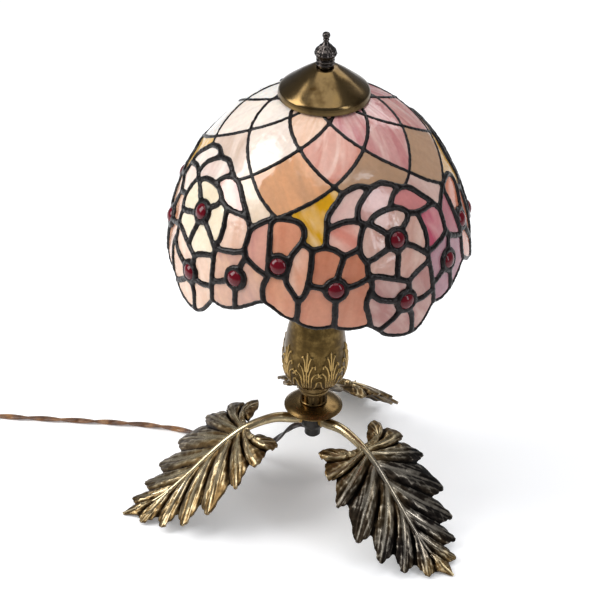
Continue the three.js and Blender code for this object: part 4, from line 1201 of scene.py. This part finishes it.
def straight_stretches(lines):
    """Starts, ends and line numbers of all stretches of the seams and of their neighbours' copies."""
    starts, ends, owners = [], [], []
    for shift in (-MARKS, 0, MARKS):
        for k, line in enumerate(lines):
            for a, b in zip(line, line[1:]):
                starts.append((a.x + shift * MARK, a.y))
                ends.append((b.x + shift * MARK, b.y))
                owners.append(k)
    return np.array(starts), np.array(ends), np.array(owners)


def nearest_on(point, starts, ends):
    """The point of each stretch that is nearest to a point, and how far it is."""
    along = ends - starts
    square = np.maximum(np.einsum("ij,ij->i", along, along), 1e-9)
    share = np.einsum("ij,ij->i", point - starts, along) / square
    feet = starts + np.clip(share, 0, 1)[:, None] * along
    return feet, np.hypot(*(feet - point).T)


def flat_seams():
    """The seams laid out flat in millimetres, smoothed, each carried on to the seam that it meets."""
    drawn = LATTICE_SEAMS + LEFT_SEAMS + FLOWER_SEAMS + RIGHT_SEAMS + [HEM]
    lines = [curve_through([Vector((x * MARK, y)) for x, y in line], 5) for line in drawn]
    lines.append([Vector((0, 0)), Vector((MARKS * MARK, 0))])
    starts, ends, owners = straight_stretches(lines)
    for k, line in enumerate(lines[:-1]):
        for end in (0, -1):
            others = owners != k
            feet, away = nearest_on(np.array(line[end]), starts[others], ends[others])
            nearest = away.argmin()
            if 1e-6 < away[nearest] < LOOSE_END:
                foot = Vector(feet[nearest])
                foot += (foot - line[end]).normalized() * CROSSING
                line.insert(0 if end == 0 else len(line), foot)
    return lines


def pane_points(lines):
    """Points inside the panes, at least half a step from any seam, in rows set off from each other."""
    starts, ends, _ = straight_stretches(lines)
    points = []
    rise = GRID_STEP * math.sqrt(3) / 2
    for row in range(1, int(200 / rise)):
        for column in range(int(1.5 * MARKS * MARK / GRID_STEP)):
            x = (column + 0.5 * (row % 2)) * GRID_STEP - 0.25 * MARKS * MARK
            point = np.array((x, row * rise))
            near = np.abs(starts[:, 1] - point[1]) < 3 * GRID_STEP
            if nearest_on(point, starts[near], ends[near])[1].min() > 0.4 * GRID_STEP:
                points.append(Vector(point))
    return points


def flat_panes():
    """The panes of one quarter, each as flat points and triangles between them."""
    lines = flat_seams()
    starts, ends, _ = straight_stretches(lines)
    points = [Vector(p) for pair in zip(starts, ends) for p in pair]
    seams = [(2 * i, 2 * i + 1) for i in range(len(starts))]
    inside = pane_points(lines)
    points, edges, faces, _, edge_seams, _ = delaunay_2d_cdt(points + inside, seams, [], 0, 1e-3)
    walls = {tuple(sorted(edge)) for edge, owners in zip(edges, edge_seams) if owners}
    sides = {}
    for k, face in enumerate(faces):
        for a, b in zip(face, face[1:] + face[:1]):
            sides.setdefault(tuple(sorted((a, b))), []).append(k)
    neighbours = [[] for _ in faces]
    open_faces = set()
    for side, users in sides.items():
        if side in walls:
            continue
        if len(users) == 1:
            open_faces.add(users[0])
        else:
            neighbours[users[0]].append(users[1])
            neighbours[users[1]].append(users[0])
    seen = set()
    panes = []
    for first in range(len(faces)):
        if first in seen:
            continue
        pane, queue = [], [first]
        seen.add(first)
        while queue:
            k = queue.pop()
            pane.append(k)
            fresh = [n for n in neighbours[k] if n not in seen]
            seen.update(fresh)
            queue.extend(fresh)
        corners = sorted({v for k in pane for v in faces[k]})
        middle = sum((points[v] for v in corners), Vector((0, 0))) / len(corners)
        if open_faces.isdisjoint(pane) and 0 <= middle.x < MARKS * MARK and len(pane) > FEWEST_FACES:
            places = {v: i for i, v in enumerate(corners)}
            triangles = [[places[v] for v in faces[k]] for k in pane]
            panes.append(([points[v] for v in corners], triangles, middle))
    return lines, panes


def glass_of(middle):
    """The row of PANES for the pane whose middle is at a flat point, or nothing in the lattice."""
    across, down = middle.x / MARK, middle.y

    def away(row):
        return math.hypot((across - row[0] + MARKS / 2) % MARKS - MARKS / 2, (down - row[1]) / MARK)

    if down < 74 and not (22 < across < 73 and down > 66):
        return None
    return min(PANES, key=away)


def lay_panes(sizes, lines, panes):
    """One quarter's panes as a bmesh, each vertex with its pane's number and its streak's place."""
    starts, ends, _ = straight_stretches(lines)
    bm = bmesh.new()
    number = bm.verts.layers.int.new("pane")
    streak = bm.verts.layers.float_vector.new("streak")
    for k, (points, faces, middle) in enumerate(panes):
        placed = [on_dome(p.x / MARK, p.y, sizes.pane / 2 - GLASS_DEPTH) for p in points]
        centre = sum(placed, Vector()) / len(placed)
        _, _, axes = np.linalg.svd(np.array(placed) - np.array(centre))
        normal = Vector(axes[2])
        row = glass_of(middle)
        lie = math.radians(row[2] if row else 50 + 60 * (k % 3))
        verts = []
        for flat, place in zip(points, placed):
            rim = nearest_on(np.array(flat), starts, ends)[1].min()
            lift = (centre - place).dot(normal) * sizes.flatness * eased(rim / GRID_STEP)
            vert = bm.verts.new(place + normal * lift)
            vert[number] = k
            local = flat - middle
            along = local.x * math.cos(lie) + local.y * math.sin(lie)
            across = local.y * math.cos(lie) - local.x * math.sin(lie)
            vert[streak] = Vector((along, across, 7.3 * k))
            verts.append(vert)
        for face in faces:
            bm.faces.new([verts[v] for v in face])
    bmesh.ops.recalc_face_normals(bm, faces=bm.faces)
    inside = CENTRE + Vector((0, 0, 200))
    if sum(face.normal.dot(face.calc_center_median() - inside) for face in bm.faces) < 0:
        bmesh.ops.reverse_faces(bm, faces=bm.faces)
    bmesh.ops.solidify(bm, geom=bm.faces, thickness=sizes.pane)
    return bm


def quarter_turn(quarter):
    """The matrix that turns the first quarter of the shade to another."""
    turn = Matrix.Rotation(quarter * math.pi / 2, 4, "Z")
    return Matrix.Translation(CENTRE) @ turn @ Matrix.Translation(-CENTRE)


def blend_through(stops, share):
    """A colour between evenly spaced ones."""
    place = share * (len(stops) - 1)
    first = min(int(place), len(stops) - 2)
    return Vector(stops[first]).lerp(Vector(stops[first + 1]), place - first)


def colour_panes(mesh, panes, quarter, colours):
    """Gives each pane of a quarter its glass, which goes from cream to rose round the lamp, palest
    toward the window with painted light.
    """
    count = len(mesh.vertices)
    numbers = np.empty(count, dtype=np.int32)
    mesh.attributes["pane"].data.foreach_get("value", numbers)
    tints, wisps = [], []
    for k, (_, _, middle) in enumerate(panes):
        row = glass_of(middle)
        turn = PATTERN_TURN + (middle.x / MARK / MARKS + quarter) * math.pi / 2
        # painted light: the share is least toward the window at the left, where the glass is painted palest
        share = eased(0.5 - 0.5 * math.cos(turn - PAINTED_LIGHT_SIDE)) + 0.12 * math.sin(5.1 * k + 2 * quarter)
        share = min(max(share, 0), 1)
        if row:
            stops = [linear(row[3]), linear(row[4])]
        else:
            stops = [colours.cream, colours.peach, colours.mauve if k % 3 else colours.tan]
        tint = blend_through(stops, share) * GLASS_TONE
        tints.append((*tint, 1))
        lighter = tint.lerp(Vector((1, 0.9, 0.78)), 0.34)
        darker = tint.lerp(Vector(stops[-1]), 0.5) * 0.8
        wisps.append((*(lighter if k % 3 else darker), 1))
    for name, values in (("tint", tints), ("wisp", wisps)):
        layer = mesh.attributes.new(name, "FLOAT_COLOR", "POINT")
        layer.data.foreach_set("color", np.array(values)[numbers].ravel())
    layer = mesh.attributes["streak"]
    places = np.empty(count * 3)
    layer.data.foreach_get("vector", places)
    places[2::3] += 37.1 * quarter
    layer.data.foreach_set("vector", places)


def skinned(bm, cell, smoothing):
    """One skin over a bmesh's overlapping solids, of cells of a size in millimetres."""
    mesh = bpy.data.meshes.new("skin")
    bm.to_mesh(mesh)
    bm.free()
    holder = bpy.data.objects.new("skin", mesh)
    bpy.context.scene.collection.objects.link(holder)
    remesh = holder.modifiers.new("skin", "REMESH")
    remesh.mode = "VOXEL"
    remesh.voxel_size = cell
    smooth = holder.modifiers.new("smooth", "SMOOTH")
    smooth.iterations = smoothing
    made = bmesh.new()
    made.from_object(holder, bpy.context.evaluated_depsgraph_get())
    bpy.data.objects.remove(holder)
    bpy.data.meshes.remove(mesh)
    return made


def ring_on_dome(x, y, radius, out):
    """Points of a ring on the dome round a point, and a matrix that stands on the dome there."""
    centre = on_dome(x, y, out)
    normal = (on_dome(x, y, out + 1) - centre).normalized()
    stand = Matrix.Translation(centre) @ normal.to_track_quat("Z", "Y").to_matrix().to_4x4()
    turns = [2 * math.pi * i / 32 for i in range(33)]
    return [stand @ Vector((radius * math.cos(t), radius * math.sin(t), 0)) for t in turns], stand


def solder_net(sizes, lines):
    """One quarter's solder: a bead on each seam, on the hem and round each cabochon."""
    net = bmesh.new()
    bead = sizes.seam / 2
    for k, line in enumerate(lines):
        path = [on_dome(p.x / MARK, p.y) for p in line]
        slim = k < len(LATTICE_SEAMS) or k >= len(lines) - 2
        radius = sizes.lattice_seam / 2 if slim else bead
        join_into(net, tube(path, lambda share: radius, round_section(10)))
    for x, y in CABOCHONS:
        path, _ = ring_on_dome(x, y, sizes.ruby / 2 + 0.7, 0.2 - GLASS_DEPTH)
        join_into(net, tube(path, lambda share: bead, round_section(10)))
    net = skinned(net, 1.0, 4)
    net.normal_update()
    for vert in net.verts:
        vert.co += vert.normal * 0.3 * noise.noise(vert.co * 0.33)
    return net


def cabochons(sizes):
    """One quarter's cabochons: a low dome of pressed glass each, with its back sunk in the shade."""
    made = bmesh.new()
    for x, y in CABOCHONS:
        _, stand = ring_on_dome(x, y, 1, -GLASS_DEPTH)
        half = sizes.ruby / 2
        ball = bmesh.new()
        bmesh.ops.create_uvsphere(ball, u_segments=36, v_segments=20, radius=1)
        bmesh.ops.scale(ball, vec=(half, half, sizes.ruby_height), verts=ball.verts)
        join_into(made, ball, stand)
    return made


def make_shade(sizes, colours):
    """Makes the first quarter's glass, solder and cabochons, and turns a copy to each quarter."""
    lines, panes = flat_panes()
    glass, solder = opal_glass_finish(), solder_finish()
    ruby = ruby_glass_finish(colours.ruby)
    makers = [
        ("panes", lambda: lay_panes(sizes, lines, panes), glass, "rose_glass", "flower_panel"),
        ("solder_net", lambda: solder_net(sizes, lines), solder, "solder", "lattice_panel"),
        ("cabochons", lambda: cabochons(sizes), ruby, "ruby_glass", "ruby_cabochon"),
    ]
    for name, make, material, slot, stands_for in makers:
        first = make()
        for quarter in range(QUARTERS):
            bm = first.copy()
            bmesh.ops.transform(bm, matrix=quarter_turn(quarter), verts=bm.verts)
            piece = finished(f"{name}_{quarter + 1}", bm, material, "shade", slot, 50)
            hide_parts(f"{stands_for}_{quarter + 1}")
            if name == "panes":
                colour_panes(piece.data, panes, quarter, colours)
        first.free()


class LAMP_OT_shade(bpy.types.Operator):
    """Leads the glass dome: panes, solder seams and cabochons"""

    bl_idname = "lamp.shade"
    bl_label = "Shade"

    def execute(self, context):
        make_shade(context.scene.lamp_shade, context.scene.lamp_colours)
        return {"FINISHED"}


# ---- Panel and order ---------------------------------------------------------------------------

PIECES = [
    LAMP_OT_stage,
    LAMP_OT_flex,
    LAMP_OT_shade,
    LAMP_OT_top,
    LAMP_OT_body,
    LAMP_OT_leaves,
    LAMP_OT_fittings,
]
SETTINGS = {
    "lamp_shade": LampShadeSizes,
    "lamp_body": LampBodySizes,
    "lamp_flex": LampFlexSizes,
    "lamp_colours": LampColours,
}


class LAMP_PT_panel(bpy.types.Panel):
    """Lists the lamp's sizes and the operators that make its pieces"""

    bl_label = "Stained Glass Lamp"
    bl_idname = "LAMP_PT_panel"
    bl_space_type = "VIEW_3D"
    bl_region_type = "UI"
    bl_category = "Lamp"

    def draw(self, context):
        for name, group in SETTINGS.items():
            box = self.layout.box()
            for field in group.__annotations__:
                box.prop(getattr(context.scene, name), field)
        for piece in PIECES:
            self.layout.operator(piece.bl_idname)


def register():
    for group in SETTINGS.values():
        bpy.utils.register_class(group)
    for name, group in SETTINGS.items():
        setattr(bpy.types.Scene, name, PointerProperty(type=group))
    for piece in [*PIECES, LAMP_PT_panel]:
        bpy.utils.register_class(piece)


def unregister():
    for piece in [LAMP_PT_panel, *reversed(PIECES)]:
        bpy.utils.unregister_class(piece)
    for name, group in SETTINGS.items():
        delattr(bpy.types.Scene, name)
        bpy.utils.unregister_class(group)


def main():
    register()
    for piece in PIECES:
        getattr(bpy.ops.lamp, piece.bl_idname.split(".")[1])()


if __name__ == "__main__":
    main()
